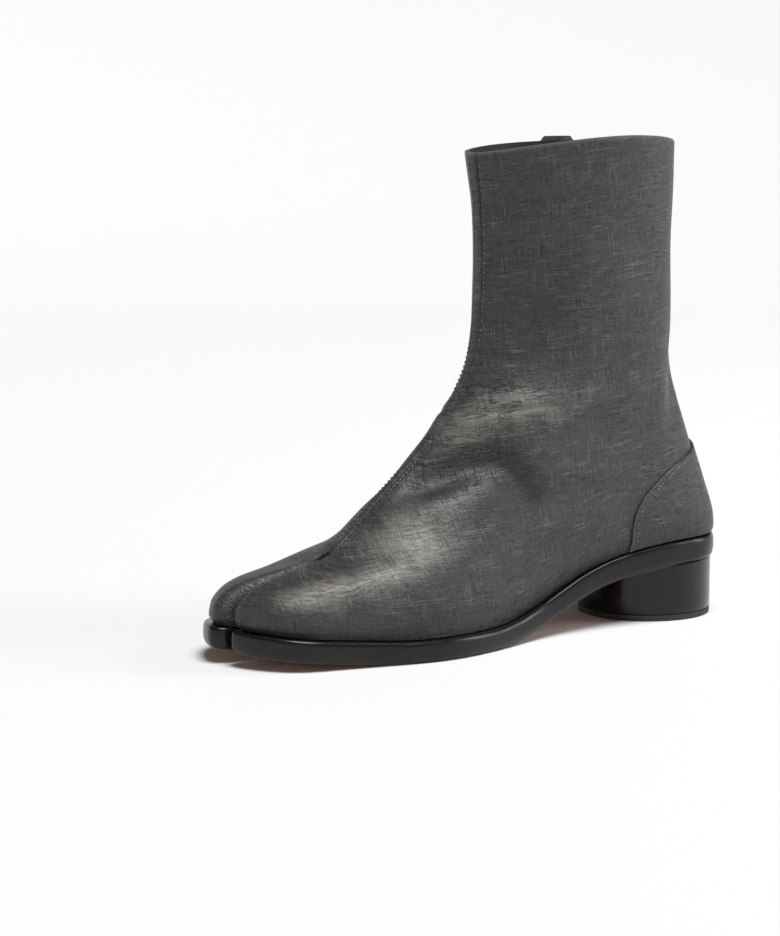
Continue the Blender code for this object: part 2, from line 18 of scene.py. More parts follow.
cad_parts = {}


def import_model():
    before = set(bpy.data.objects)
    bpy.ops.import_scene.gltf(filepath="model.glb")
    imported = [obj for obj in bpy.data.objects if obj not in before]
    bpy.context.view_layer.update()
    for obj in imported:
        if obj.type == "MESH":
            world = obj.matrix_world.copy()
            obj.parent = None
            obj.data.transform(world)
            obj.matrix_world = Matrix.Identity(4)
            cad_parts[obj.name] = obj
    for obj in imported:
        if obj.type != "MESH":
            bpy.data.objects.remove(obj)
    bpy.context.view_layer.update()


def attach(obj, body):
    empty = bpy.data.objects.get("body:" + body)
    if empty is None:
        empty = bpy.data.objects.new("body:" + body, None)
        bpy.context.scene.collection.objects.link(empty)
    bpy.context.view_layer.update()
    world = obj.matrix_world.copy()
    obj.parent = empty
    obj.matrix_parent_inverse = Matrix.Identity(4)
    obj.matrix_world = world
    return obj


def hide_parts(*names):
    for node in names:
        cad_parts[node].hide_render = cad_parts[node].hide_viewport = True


LOG = logging.getLogger("boot")
MM = 0.001
# Blender's wave texture repeats 20 times over 2 pi at scale 1
WAVES_PER_UNIT = 20
Array = np.ndarray


class Side(Enum):
    """Side of the boot: the little toe's or the big toe's."""

    OUTER = 1
    INNER = -1


def monotone(x: Array, xs: Array, ys: Array) -> Array:
    """Cubic curve through points that never overshoots them.

    Args:
        x: where to read the curve.
        xs: rising keys of the points.
        ys: values of the points.

    Returns:
        Values at x, from cubic pieces with harmonic-mean slopes.
    """
    step = np.diff(xs)
    slope = np.diff(ys) / step
    weight_a = 2 * step[1:] + step[:-1]
    weight_b = step[1:] + 2 * step[:-1]
    product = slope[:-1] * slope[1:]
    same_way = product > 0
    bottom = weight_a * slope[1:] + weight_b * slope[:-1]
    inner = np.where(same_way, (weight_a + weight_b) * product / np.where(same_way, bottom, 1.0), 0.0)
    tangent = np.concatenate([slope[:1], inner, slope[-1:]])
    x = np.clip(x, xs[0], xs[-1])
    i = np.clip(np.searchsorted(xs, x, side="right") - 1, 0, len(xs) - 2)
    t = (x - xs[i]) / step[i]
    rise = t * t * (3 - 2 * t)
    leave = t * (1 - t) ** 2 * step[i] * tangent[i]
    arrive = t * t * (t - 1) * step[i] * tangent[i + 1]
    return ys[i] * (1 - rise) + ys[i + 1] * rise + leave + arrive


def smooth(t: Array) -> Array:
    """Ease from 0 to 1 as t runs from 0 to 1: 3t^2 - 2t^3."""
    t = np.clip(t, 0.0, 1.0)
    return t * t * (3 - 2 * t)


def unit(vectors: Array) -> Array:
    """Vectors scaled to length 1."""
    return vectors / np.maximum(np.linalg.norm(vectors, axis=-1, keepdims=True), 1e-9)


def grid_faces(index: Array) -> Array:
    """Quads of an index grid, as rows of four vertex numbers."""
    corners = [index[:-1, :-1], index[:-1, 1:], index[1:, 1:], index[1:, :-1]]
    return np.stack(corners, axis=-1).reshape(-1, 4)


def laid_flat(points: Array) -> Array:
    """Map of a grid of points in millimetres, as if the leather were laid flat.

    Args:
        points: grid of points.

    Returns:
        Arc length along each row from its middle column, and height.
    """
    step = np.linalg.norm(np.diff(points, axis=1), axis=-1)
    run = np.concatenate([np.zeros((len(points), 1)), np.cumsum(step, axis=1)], axis=1)
    middle = points.shape[1] // 2
    return np.stack([run - run[:, middle:middle + 1], points[..., 2]], axis=-1)


@dataclass(frozen=True)
class LastTables:
    """Measured sizes of the last, the same as in the boot's solids."""

    sole: Array = field(default_factory=lambda: np.array([
        (-38.0, 29.6, 41.6), (-17.0, 29.2, 41.2), (9.0, 27.8, 39.9), (33.0, 25.0, 36.9),
        (48.0, 21.8, 33.6), (63.0, 16.8, 28.6), (77.0, 11.0, 22.4), (92.0, 5.4, 16.2),
        (108.0, 1.6, 12.0), (124.0, 0.0, 10.3), (166.0, 0.0, 10.2), (203.0, 2.2, 12.7),
        (225.0, 4.5, 14.9), (252.0, 7.4, 17.8),
    ]))
    profile: Array = field(default_factory=lambda: np.array([
        (-32.6, 41.6, 241.3, 16.4), (-33.4, 46.0, 244.2, 20.5), (-32.9, 50.5, 243.8, 25.3),
        (-31.5, 56.0, 240.0, 30.7), (-29.5, 62.0, 232.8, 35.1), (-27.2, 68.5, 221.5, 38.4),
        (-24.8, 75.0, 208.5, 41.3), (-22.3, 82.0, 197.0, 44.0), (-19.3, 90.0, 184.5, 49.4),
        (-15.4, 100.0, 166.0, 66.0), (-11.3, 111.0, 147.0, 82.5), (-7.9, 123.0, 129.5, 98.5),
        (-6.3, 136.0, 116.0, 116.8), (-5.8, 151.0, 107.5, 135.0), (-5.7, 168.0, 104.0, 155.0),
        (-5.7, 190.0, 103.0, 180.0), (-5.9, 213.0, 103.8, 205.0), (-6.6, 237.5, 107.0, 231.5),
    ]))
    places: Array = field(default_factory=lambda: np.array([0.03, 0.13, 0.40, 0.68, 0.88, 0.97]))
    outer_widths: Array = field(default_factory=lambda: np.array([
        (0, 22.2, 32.6, 30.0, 45.5, 36.0, 23.6), (2, 22.8, 33.5, 35.0, 47.0, 36.8, 23.8),
        (5, 20.4, 32.0, 37.0, 43.0, 32.6, 19.6), (8, 17.0, 29.2, 36.0, 37.5, 27.0, 14.5),
        (10, 15.0, 28.0, 35.0, 33.0, 21.5, 10.0), (12, 14.0, 27.5, 35.0, 32.0, 19.0, 8.5),
        (14, 14.0, 27.5, 36.0, 33.0, 19.5, 9.0), (17, 14.0, 28.0, 38.8, 35.5, 22.5, 10.8),
    ]))
    inner_widths: Array = field(default_factory=lambda: np.array([
        (0, 22.2, 32.6, 25.0, 42.0, 36.6, 24.8), (2, 22.8, 33.3, 30.0, 43.0, 36.6, 24.4),
        (5, 20.4, 31.8, 34.0, 39.0, 31.4, 19.0), (8, 17.0, 29.2, 34.0, 34.0, 23.0, 12.0),
        (10, 15.0, 28.0, 34.0, 31.0, 19.0, 9.0), (12, 14.0, 27.5, 34.0, 31.0, 17.5, 7.8),
        (14, 14.0, 27.5, 35.0, 32.5, 19.0, 8.6), (17, 14.0, 28.0, 38.8, 35.5, 22.5, 10.8),
    ]))
    cleft: Array = field(default_factory=lambda: np.array([
        (0.0, 1.6, 6.5, 9.0), (3.0, 1.3, 6.0, 8.5), (5.0, 0.6, 4.5, 6.0),
        (6.3, 0.4, 3.0, 3.5), (6.85, 0.9, 2.3, 2.4), (7.3, 2.7, 1.6, 1.6), (7.7, 1.8, 1.1, 1.1),
    ]))
    welt_out: Array = field(default_factory=lambda: np.array([
        (0.0, 0.6), (0.22, 0.8), (0.55, 2.9), (1.0, 3.4),
    ]))
    counter: Array = field(default_factory=lambda: np.array([
        (0.1, 1.042), (2.76, 1.031), (4.25, 1.011), (5.40, 0.974),
        (6.25, 0.895), (7.06, 0.728), (7.48, 0.346), (7.75, 0.0),
    ]))
    front_y: float = -3.0
    big_toe_lead: float = 4.0
    hole_ring: float = 7.7
    hole_ramp: float = 0.25
    top_ring: float = 17.0
    seat_gap: float = 0.3


@dataclass
class Last:
    """The last: surface, normals and sole line as whole-array functions."""

    t: LastTables = field(default_factory=LastTables)
    sag_rings: float = 9.35
    sag_power: float = 1.6
    collar_rise: dict[Side, float] = field(default_factory=lambda: {Side.OUTER: 5.0, Side.INNER: 1.5})
    collar_rings: tuple[float, float] = (11.5, 17.0)
    back_dip: float = 3.5
    dip_rings: tuple[float, float] = (14.5, 17.0)
    dip_angle: float = 0.75
    front_share: float = 0.4
    front_samples: int = 90
    relief: Callable[[Array, Array, Side], Array] | None = None

    def sole_bottom(self, x: Array) -> Array:
        """Height of the sole's underside at x."""
        return monotone(x, self.t.sole[:, 0], self.t.sole[:, 1])

    def sole_top(self, x: Array) -> Array:
        """Height of the sole's top at x."""
        return monotone(x, self.t.sole[:, 0], self.t.sole[:, 2])

    def half_width(self, ring: Array, share: Array, side: Side) -> Array:
        """Half width over the circle's own, 2 sqrt(p (1 - p)), through six places along a ring.

        Args:
            ring: ring numbers.
            share: shares p of the way from the back to the front.
            side: outer or inner side.

        Returns:
            Half widths of the last over the circle's, from cubic pieces level at both ends.
        """
        table = self.t.outer_widths if side is Side.OUTER else self.t.inner_widths
        places = self.t.places
        circle = 2 * np.sqrt(places * (1 - places))
        widths = [monotone(ring, table[:, 0], table[:, k + 1]) / circle[k] for k in range(len(places))]
        values = np.stack([widths[0], *widths, widths[-1]], axis=-1)
        knots = np.concatenate([[0.0], places, [1.0]])
        step = np.diff(knots)
        slope = np.diff(values, axis=-1) / step
        middle = (slope[..., :-1] * step[1:] + slope[..., 1:] * step[:-1]) / (step[1:] + step[:-1])
        level = np.zeros_like(middle[..., :1])
        tangent = np.concatenate([level, middle, level], axis=-1)
        i = np.clip(np.searchsorted(knots, share, side="right") - 1, 0, len(knots) - 2)
        t = (share - knots[i]) / step[i]
        start, end = (np.take_along_axis(values, (i + k)[..., None], -1)[..., 0] for k in (0, 1))
        leave, arrive = (np.take_along_axis(tangent, (i + k)[..., None], -1)[..., 0] for k in (0, 1))
        rise = t * t * (3 - 2 * t)
        bend = t * (1 - t) ** 2 * leave + t * t * (t - 1) * arrive
        return start * (1 - rise) + end * rise + bend * step[i]

    def surface(self, ring: Array, angle: Array, side: Side) -> Array:
        """Point of the last at a ring number and an angle from the back.

        x = back + (front - back) (1 - cos a) / 2, y = half width times sin a, and z is the chord
        from back to front, sagged to the sole near the feather line and lifted at the collar.

        Args:
            ring: ring numbers, 0 at the feather line.
            angle: angles from the back, pi at the front.
            side: outer or inner side.

        Returns:
            Points in millimetres.
        """
        ring, angle = np.broadcast_arrays(np.asarray(ring, float), np.asarray(angle, float))
        share = (1 - np.cos(angle)) / 2
        keys = np.arange(len(self.t.profile), dtype=float)
        back_x, back_z, front_x, front_z = (
            monotone(ring, keys, self.t.profile[:, column]) for column in range(4)
        )
        if side is Side.INNER:
            front_x = front_x + self.t.big_toe_lead * (1 - smooth(ring / self.t.hole_ring))
        x = back_x + (front_x - back_x) * share
        y = self.t.front_y * share + side.value * self.half_width(ring, share, side) * np.sin(angle)
        feather = self.t.profile[0]
        feather_x = feather[0] + (feather[2] - feather[0]) * share
        sag = self.sole_top(feather_x) - (feather[1] + (feather[3] - feather[1]) * share)
        fade = np.clip(1 - ring / self.sag_rings, 0, 1) ** self.sag_power
        start, end = self.collar_rings
        rise = self.collar_rise[side] * smooth((ring - start) / (end - start)) * 4 * share * (1 - share)
        start, end = self.dip_rings
        dip = self.back_dip * np.exp(-(angle / self.dip_angle) ** 2) * smooth((ring - start) / (end - start))
        z = back_z + (front_z - back_z) * share + sag * fade + rise - dip + self.t.seat_gap
        return np.stack([x, y, z], axis=-1)

    def normal(self, ring: Array, angle: Array, side: Side) -> Array:
        """Outward unit normal of the last, from central differences.

        Args:
            ring: ring numbers.
            angle: angles from the back.
            side: outer or inner side.

        Returns:
            Unit vectors.
        """
        ring, angle = np.broadcast_arrays(np.asarray(ring, float), np.asarray(angle, float))
        nudge = 1e-3
        low, high = np.clip(ring - nudge, 0, self.t.top_ring), np.clip(ring + nudge, 0, self.t.top_ring)
        along = self.surface(ring, angle + nudge, side) - self.surface(ring, angle - nudge, side)
        up = self.surface(high, angle, side) - self.surface(low, angle, side)
        return unit(np.cross(up, along) * side.value)

    def skin(self, ring: Array, angle: Array, side: Side, depth: float) -> Array:
        """Point at a depth under the leather's surface, with its folds, seated on the sole.

        Args:
            ring: ring numbers.
            angle: angles from the back.
            side: outer or inner side.
            depth: depth in millimetres.

        Returns:
            Points P - depth n, moved along the normal n by the folds' relief.
        """
        out = -depth
        if self.relief is not None:
            out = out + self.relief(ring, angle, side)
        point = self.surface(ring, angle, side)
        point = point + np.asarray(out)[..., None] * self.normal(ring, angle, side)
        floor = self.sole_top(point[..., 0]) + self.t.seat_gap
        at_feather = np.broadcast_to(np.asarray(ring, float), point.shape[:-1]) <= 0
        point[..., 2] = np.where(at_feather, floor, point[..., 2])
        return point

    def front_gaps(self, ring: Array, side: Side, depth: float) -> tuple[Array, Array]:
        """Angles near the front, closer together towards it, and each ring's distances there.

        A distance is measured across the boot, from its middle line to the unfolded skin.

        Args:
            ring: ring numbers.
            side: outer or inner side.
            depth: depth of the skin.

        Returns:
            Angles, and a row of distances for each ring.
        """
        samples = math.pi * (1 - self.front_share * np.linspace(1, 0, self.front_samples) ** 1.5)
        grid = np.asarray(ring, float)[:, None] + 0 * samples
        points = Last(self.t).skin(grid, samples + 0 * grid, side, depth)
        return samples, (points[..., 1] - self.t.front_y * (1 - np.cos(samples)) / 2) * side.value

    @staticmethod
    def angle_from(front: tuple[Array, Array], distance: Array) -> Array:
        """Angle at which each ring lies a distance from the middle line."""
        samples, gaps = front
        return np.array([np.interp(-far, -gap, samples) for far, gap in zip(distance, gaps)])

    def angle_at(self, ring: Array, side: Side, depth: float, distance: Array) -> Array:
        """Angle at which a skin lies a distance from the boot's middle line, near the front."""
        return self.angle_from(self.front_gaps(ring, side, depth), distance)


@dataclass(frozen=True)
class Fold:
    """A fold of the leather: a line on the last with a height along it.

    Attributes:
        line: rows of ring, angle and height in millimetres, below 0 for a hollow.
        width: half width of the fold in millimetres.
    """

    line: Sequence[tuple[float, float, float]]
    width: float


@dataclass
class Folds:
    """Folds of the leather, from how the boot bends at the ankle and the toes."""

    last: Last
    inner_share: float = 0.75
    folds: Sequence[Fold] = (
        Fold(((11.1, 2.95, 0.2), (11.25, 2.7, 1.8), (11.4, 2.4, 3.2), (11.45, 2.0, 3.4),
              (11.4, 1.7, 2.4), (11.2, 1.35, 0.8), (11.0, 1.1, 0.0)), 10.0),
        Fold(((11.5, 2.9, -0.5), (11.43, 2.72, -1.0), (11.39, 2.21, -1.1), (11.35, 1.8, -0.7),
              (11.4, 1.6, 0.0)), 1.6),
        Fold(((9.5, 2.90, -1.6), (9.5, 2.76, -3.0), (9.55, 2.62, -4.1), (9.75, 2.50, -4.7),
              (10.0, 2.36, -5.0), (10.05, 2.25, -4.9), (9.85, 2.12, -4.4), (9.4, 2.0, -3.8),
              (8.85, 1.86, -2.8), (8.2, 1.7, -1.6)), 9.6),
        Fold(((8.2, 2.80, 0.5), (8.1, 2.58, 1.0), (8.2, 2.36, 1.1), (8.2, 2.2, 0.8),
              (7.9, 2.05, 0.3)), 10.0),
        Fold(((8.6, 1.75, -0.9), (8.0, 1.5, -1.4), (7.6, 1.3, -0.4)), 12.0),
        Fold(((12.4, 0.44, -0.3), (11.0, 0.52, -1.5), (9.3, 0.66, -1.3), (8.4, 0.72, 0.0)), 5.5),
        Fold(((11.9, 0.80, 0.3), (10.8, 0.84, 1.4), (9.5, 0.95, 0.5)), 7.0),
        Fold(((13.9, 2.6, 0.0), (13.7, 2.1, -0.9), (13.4, 1.6, -0.7), (13.2, 1.2, 0.0)), 9.0),
        Fold(((6.6, 2.2, 0.0), (6.2, 2.0, -0.8), (5.6, 1.85, -0.7), (5.0, 1.75, 0.0)), 8.0),
    )
    waves: Array = field(default_factory=lambda: np.array([
        (0.082, 0.021, 0.4, 0.42), (-0.061, 0.053, 1.9, 0.30), (0.109, -0.047, 3.1, 0.20),
        (0.031, 0.097, 5.0, 0.22), (0.171, 0.063, 0.9, 0.12), (-0.153, 0.107, 4.2, 0.10),
    ]))
    foot_fade: float = 2.5
    collar_fade: float = 1.2
    edge_fade: float = 0.35
    spots_a_width: int = 3

    def chain(self, fold: Fold, side: Side) -> tuple[Array, Array]:
        """Points a third of a width apart along a fold's line, and the share of height each gives.

        The bells of a straight row of such points add up to the fold's own height.

        Args:
            fold: the fold.
            side: outer or inner side.

        Returns:
            Points on the last, and a height for each.
        """
        table = np.array(fold.line)
        dense = np.linspace(0, len(table) - 1, (len(table) - 1) * 12 + 1)
        steps = np.arange(len(table))
        ring, angle, height = (np.interp(dense, steps, table[:, k]) for k in range(3))
        line = self.last.surface(ring, angle, side)
        run = np.append(0.0, np.cumsum(np.linalg.norm(np.diff(line, axis=0), axis=1)))
        count = int(math.ceil(run[-1] / fold.width * self.spots_a_width)) + 1
        at = np.linspace(0, run[-1], count)
        spots = np.stack([np.interp(at, run, line[:, k]) for k in range(3)], axis=-1)
        each = at[1] / (fold.width * math.sqrt(math.pi))
        return spots, np.interp(at, run, height) * each

    def relief(self, ring: Array, angle: Array, side: Side) -> Array:
        """Height of the leather over the last: folds as bell curves, and slow waves of the hide.

        Each point of a fold's chain adds h exp(-(d / w)^2), so a fold stays smooth where it bends.
        The waves are a sum of sines over the point's place, and all of it fades out at the feather
        line, the collar and the front seam.

        Args:
            ring: ring numbers.
            angle: angles from the back.
            side: outer or inner side.

        Returns:
            Heights in millimetres, below 0 in a hollow.
        """
        ring, angle = np.broadcast_arrays(np.asarray(ring, float), np.asarray(angle, float))
        points = self.last.surface(ring, angle, side)
        total = np.zeros(ring.shape)
        strength = 1.0 if side is Side.OUTER else self.inner_share
        for fold in self.folds:
            for spot, tall in zip(*self.chain(fold, side)):
                gap = ((points - spot) ** 2).sum(axis=-1)
                total += strength * tall * np.exp(-gap / fold.width ** 2)
        for along, up, phase, tall in self.waves:
            total += tall * np.sin(along * points[..., 0] + up * points[..., 2] + phase * side.value)
        fade = smooth(ring / self.foot_fade) * smooth((self.last.t.top_ring - ring) / self.collar_fade)
        return total * fade * smooth((math.pi - angle) / self.edge_fade)


@dataclass(frozen=True)
class Patch:
    """A soft round area on the leather: centre on the last, radii and strength."""

    ring: float
    angle: float
    along: float
    up: float
    strength: float
    tilt: float = 0.12


def srgb(hex_value: str) -> tuple[float, float, float, float]:
    """Linear colour of an sRGB hex value, with alpha 1."""
    channels = [int(hex_value.lstrip("#")[k:k + 2], 16) / 255 for k in (0, 2, 4)]
    linear = [c / 12.92 if c <= 0.04045 else ((c + 0.055) / 1.055) ** 2.4 for c in channels]
    return (*linear, 1.0)


class Nodes:
    """A material's node tree with one way to add a node."""

    def __init__(self, name: str) -> None:
        """Start a material with a Principled shader alone."""
        self.material = bpy.data.materials.new(name)
        self.material.use_nodes = True
        self.tree = self.material.node_tree
        self.shader = self.tree.nodes["Principled BSDF"]

    def join(self, node: bpy.types.Node, inputs: dict) -> None:
        """Link or set a node's inputs.

        Args:
            node: the node to feed.
            inputs: socket name or number to a value or an output socket.
        """
        for name, value in inputs.items():
            if isinstance(value, bpy.types.NodeSocket):
                self.tree.links.new(value, node.inputs[name])
            else:
                node.inputs[name].default_value = value

    def add(self, kind: str, inputs: dict | None = None, out: str | int = 0,
            **settings: object) -> bpy.types.NodeSocket:
        """Add a node, set its properties and its inputs.

        Args:
            kind: Blender's node class without the ShaderNode prefix.
            inputs: socket name or number to a value or an output socket.
            out: name or number of the output that is wanted.
            settings: the node's own properties.

        Returns:
            That output of the new node.
        """
        node = self.tree.nodes.new("ShaderNode" + kind)
        for name, value in settings.items():
            setattr(node, name, value)
        self.join(node, inputs or {})
        return node.outputs[out]

    def finish(self, inputs: dict) -> bpy.types.Material:
        """Set or link the shader's inputs and return the material."""
        self.join(self.shader, inputs)
        return self.material


@dataclass(frozen=True)
class HideLeather:
    """Waxed calf leather rubbed over a linen cloth: grey, with a crosshatch of fine pale scratches.

    The rubbed threads lie about 0.5 to 1 mm apart, along the boot's rings and up its columns. Wax
    gives a soft broad sheen. Worn places are a warm pale grey, partly real wear and partly painted
    highlight. Places close to the sole are a bluish black, and the hollows of the folds near black,
    both painted shade.

    Attributes:
        streaks: rows of name, length and width in millimetres, whether they run up the boot, and
            where the noise is read, so that no two rows share a pattern.
        bend_mm: distance over which the threads wander by up to bend_reach_mm.
        cloud_mm: size of the slow light and dark clouds.
        patch_mm: size of the places where scratches gather.
        crease_mm: length and width of the crease lines, a groove bump darkened as painted shade.
        pore_mm: distance from one pore to the next, drawn coarser than calf's so that it shows.
    """

    name: str = "waxed_linen_rubbed_calf"
    dark: str = "#151618"
    body: str = "#3c3c3e"
    cloud: str = "#403f3d"
    # Worn colour: real wear and painted highlight, a warm pale grey
    worn_and_highlit: str = "#7f7c72"
    scratch: str = "#7d7b75"
    # Painted shade: a bluish black near the sole and on the cleft's walls
    shade: str = "#191a20"
    # Near black of the cuts and pores, also used for painted shade in the hollows and creases
    groove: str = "#0b0b0c"
    rim: str = "#6b6861"
    streaks: tuple[tuple[str, float, float, bool, float], ...] = (
        ("threads across", 7.0, 0.9, False, 3.1), ("threads up", 7.0, 0.9, True, 8.3),
        ("fine across", 3.0, 0.55, False, 1.3), ("fine up", 3.0, 0.55, True, 5.9),
        ("scratches across", 22.0, 0.5, False, 11.7), ("scratches up", 17.6, 0.5, True, 17.9),
        ("cuts across", 9.0, 0.6, False, 23.3), ("cuts up", 9.0, 0.6, True, 29.9),
    )
    bend_mm: float = 33.333
    bend_reach_mm: float = 4.0
    cloud_mm: float = 22.222
    patch_mm: float = 9.0909
    crease_mm: tuple[float, float] = (26.0, 2.0)
    crease_turn: float = 0.12
    pore_mm: float = 1.5
    lean: float = 0.10
    roughness: float = 0.47
    ior: float = 1.5
    bump_m: float = 0.0007

    def build(self) -> bpy.types.Material:
        """Make the material from the piece's own map in millimetres and its attributes of wear with painted
        highlight and of painted shade.

        Returns:
            The material. Its colour is laid in layers over the woven ground, and its bump is a
            weighted sum of the same marks.
        """
        n = Nodes(self.name)
        place = n.add("UVMap", out="UV", uv_map="hide")
        bent = n.add("TexNoise", {"Vector": place, "Scale": 1 / self.bend_mm, "Detail": 1.0}, "Color")
        shift = n.add("VectorMath", {0: bent, 1: (0.5, 0.5, 0.5)}, operation="SUBTRACT")
        shift = n.add("VectorMath", {0: shift, "Scale": self.bend_reach_mm}, operation="SCALE")
        place = n.add("VectorMath", {0: place, 1: shift}, operation="ADD")
        place = n.add("Mapping", {"Vector": place, "Rotation": (0.0, 0.0, self.lean)})
        mask = {name: n.add("Attribute", out="Fac", attribute_name=name)
                for name in ("wear_and_highlight", "shade", "crease", "pores", "rim", "hollow")}

        # Noises: streaks are drawn out along the rings, or up the boot
        noise = {}
        for name, long_mm, wide_mm, up, seed in self.streaks:
            level_mm, upright_mm = (wide_mm, long_mm) if up else (long_mm, wide_mm)
            laid = n.add("Mapping", {"Vector": place, "Location": (seed, seed * 1.7, seed),
                                     "Scale": (1 / level_mm, 1 / upright_mm, 1.0)})
            noise[name] = n.add("TexNoise", {"Vector": laid, "Scale": 1.0, "Detail": 3.0,
                                             "Roughness": 0.6}, "Fac")
        noise["cloud"] = n.add("TexNoise", {"Vector": place, "Scale": 1 / self.cloud_mm, "Detail": 4.0,
                                            "Roughness": 0.6}, "Fac")
        noise["patches"] = n.add("TexNoise", {"Vector": place, "Scale": 1 / self.patch_mm,
                                              "Detail": 3.0}, "Fac")
        noise["weave"] = 0.0
        for name, share in (("threads across", 0.30), ("threads up", 0.22),
                            ("fine across", 0.26), ("fine up", 0.22)):
            noise["weave"] = n.add("Math", {0: noise[name], 1: share, 2: noise["weave"]},
                                   operation="MULTIPLY_ADD")
        creased = n.add("Mapping", {"Vector": place, "Rotation": (0.0, 0.0, self.crease_turn)})
        level_mm, upright_mm = self.crease_mm
        creased = n.add("Mapping", {"Vector": creased, "Scale": (1 / level_mm, 1 / upright_mm, 1.0)})
        lines = n.add("TexNoise", {"Vector": creased, "Scale": 1.0, "Detail": 2.5, "Roughness": 0.6,
                                   "Distortion": 0.25}, "Fac")
        lines = n.add("Math", {0: lines, 1: 0.5}, operation="SUBTRACT")
        noise["off crease"] = n.add("Math", {0: lines}, operation="ABSOLUTE")
        solid = n.add("TexCoord", out="Object")
        noise["off pore"] = n.add("TexVoronoi", {"Vector": solid, "Scale": 1000 / self.pore_mm,
                                                 "Randomness": 1.0}, "Distance")
        noise["wear_and_highlight"] = mask["wear_and_highlight"]

        # Smooth steps of the noises, from 0 at the low value to 1 at the high one
        step = {}
        for name, low, high in (("weave", 0.38, 0.62), ("cloud", 0.35, 0.72), ("patches", 0.42, 0.66),
                                ("scratches across", 0.53, 0.66), ("scratches up", 0.55, 0.68),
                                ("cuts across", 0.56, 0.66), ("cuts up", 0.58, 0.68),
                                ("off crease", 0.03, 0.0), ("off pore", 0.5, 0.25), ("wear_and_highlight", 0.0, 0.25)):
            step[name] = n.add("MapRange", {"Value": noise[name], "From Min": low, "From Max": high},
                               "Result", interpolation_type="SMOOTHSTEP")

        # Marks: each is stronger where the patches gather it
        mark = {}
        for name, gathered, everywhere in (("scratches", 0.34, 0.10), ("cuts", 0.6, 0.3)):
            either = n.add("Math", {0: step[name + " across"], 1: step[name + " up"]}, operation="MAXIMUM")
            strength = n.add("Math", {0: step["patches"], 1: gathered, 2: everywhere},
                             operation="MULTIPLY_ADD")
            mark[name] = n.add("Math", {0: either, 1: strength}, operation="MULTIPLY")
        # Crease lines: a groove bump, darkened as painted shade
        mark["grooves"] = n.add("Math", {0: step["off crease"], 1: mask["crease"]}, operation="MULTIPLY")
        mark["pores"] = n.add("Math", {0: step["off pore"], 1: mask["pores"]}, operation="MULTIPLY")

        # Wear and painted highlight: rubbed most where the weave stands high
        weave_off = n.add("Math", {0: noise["weave"], 1: 0.5}, operation="SUBTRACT")
        patch_off = n.add("Math", {0: noise["patches"], 1: 0.5}, operation="SUBTRACT")
        rub = n.add("Math", {0: weave_off, 1: 2.2}, operation="MULTIPLY")
        rub = n.add("Math", {0: patch_off, 1: 0.6, 2: rub}, operation="MULTIPLY_ADD")
        rub = n.add("Math", {0: rub, 1: step["wear_and_highlight"], 2: mask["wear_and_highlight"]}, operation="MULTIPLY_ADD")
        worn_and_highlit = n.add("MapRange", {"Value": rub, "From Min": 0.1, "From Max": 1.3}, "Result",
                     interpolation_type="SMOOTHSTEP")

        # Colour: the woven ground, then one layer over the next
        base = n.add("Mix", {0: step["weave"], 6: srgb(self.dark), 7: srgb(self.body)}, 2,
                     data_type="RGBA")
        # The worn layer is real wear with painted highlight; the shade, hollow and crease-groove layers are
        # painted shade
        for share, weight, colour in ((step["cloud"], 0.4, self.cloud), (mark["cuts"], 1.0, self.groove),
                                      (worn_and_highlit, 0.8, self.worn_and_highlit), (mark["scratches"], 1.0, self.scratch),
                                      (mask["shade"], 0.75, self.shade), (mask["hollow"], 0.7, self.groove),
                                      (mark["grooves"], 0.75, self.groove),
                                      (mark["pores"], 0.7, self.groove), (mask["rim"], 1.0, self.rim)):
            share = n.add("Math", {0: share, 1: weight}, operation="MULTIPLY")
            base = n.add("Mix", {0: share, 6: base, 7: srgb(colour)}, 2, data_type="RGBA")

        # Relief and sheen
        height = 0.0
        for part, tall in ((noise["weave"], 0.5), (mark["scratches"], 0.14), (mark["cuts"], -0.5),
                           (mark["grooves"], -1.3), (mark["pores"], -0.5)):
            height = n.add("Math", {0: part, 1: tall, 2: height}, operation="MULTIPLY_ADD")
        bump = n.add("Bump", {"Strength": 0.9, "Distance": self.bump_m, "Height": height})
        rough = n.add("Math", {0: weave_off, 1: -0.35, 2: self.roughness}, operation="MULTIPLY_ADD")
        rough = n.add("Math", {0: mask["shade"], 1: -0.05, 2: rough}, operation="MULTIPLY_ADD")
        return n.finish({"Base Color": base, "Roughness": rough, "IOR": self.ior, "Normal": bump,
                         "Specular IOR Level": 0.45})


@dataclass(frozen=True)
class PlainLeather:
    """Vegetable-tanned or lining leather: one colour, a fine grain and slow clouds."""

    name: str
    colour: str
    cloud: str
    grain_mm: float = 0.8
    roughness: float = 0.6
    bump: float = 0.25
    cloud_mm: float = 16.667
    bump_m: float = 0.0002

    def build(self) -> bpy.types.Material:
        """Make the material on object coordinates and return it."""
        n = Nodes(self.name)
        place = n.add("TexCoord", out="Object")
        slow = n.add("TexNoise", {"Vector": place, "Scale": 1000 / self.cloud_mm, "Detail": 4.0}, "Fac")
        cells = n.add("TexVoronoi", {"Vector": place, "Scale": 1000 / self.grain_mm,
                                     "Randomness": 1.0}, "Distance")
        share = n.add("MapRange", {"Value": slow, "From Min": 0.35, "From Max": 0.7}, "Result",
                      interpolation_type="SMOOTHSTEP")
        colour = n.add("Mix", {0: share, 6: srgb(self.colour), 7: srgb(self.cloud)}, 2, data_type="RGBA")
        bump = n.add("Bump", {"Strength": self.bump, "Distance": self.bump_m, "Height": cells})
        slow_off = n.add("Math", {0: slow, 1: 0.5}, operation="SUBTRACT")
        rough = n.add("Math", {0: slow_off, 1: 0.25, 2: self.roughness}, operation="MULTIPLY_ADD")
        return n.finish({"Base Color": colour, "Roughness": rough, "Normal": bump,
                         "Specular IOR Level": 0.4})


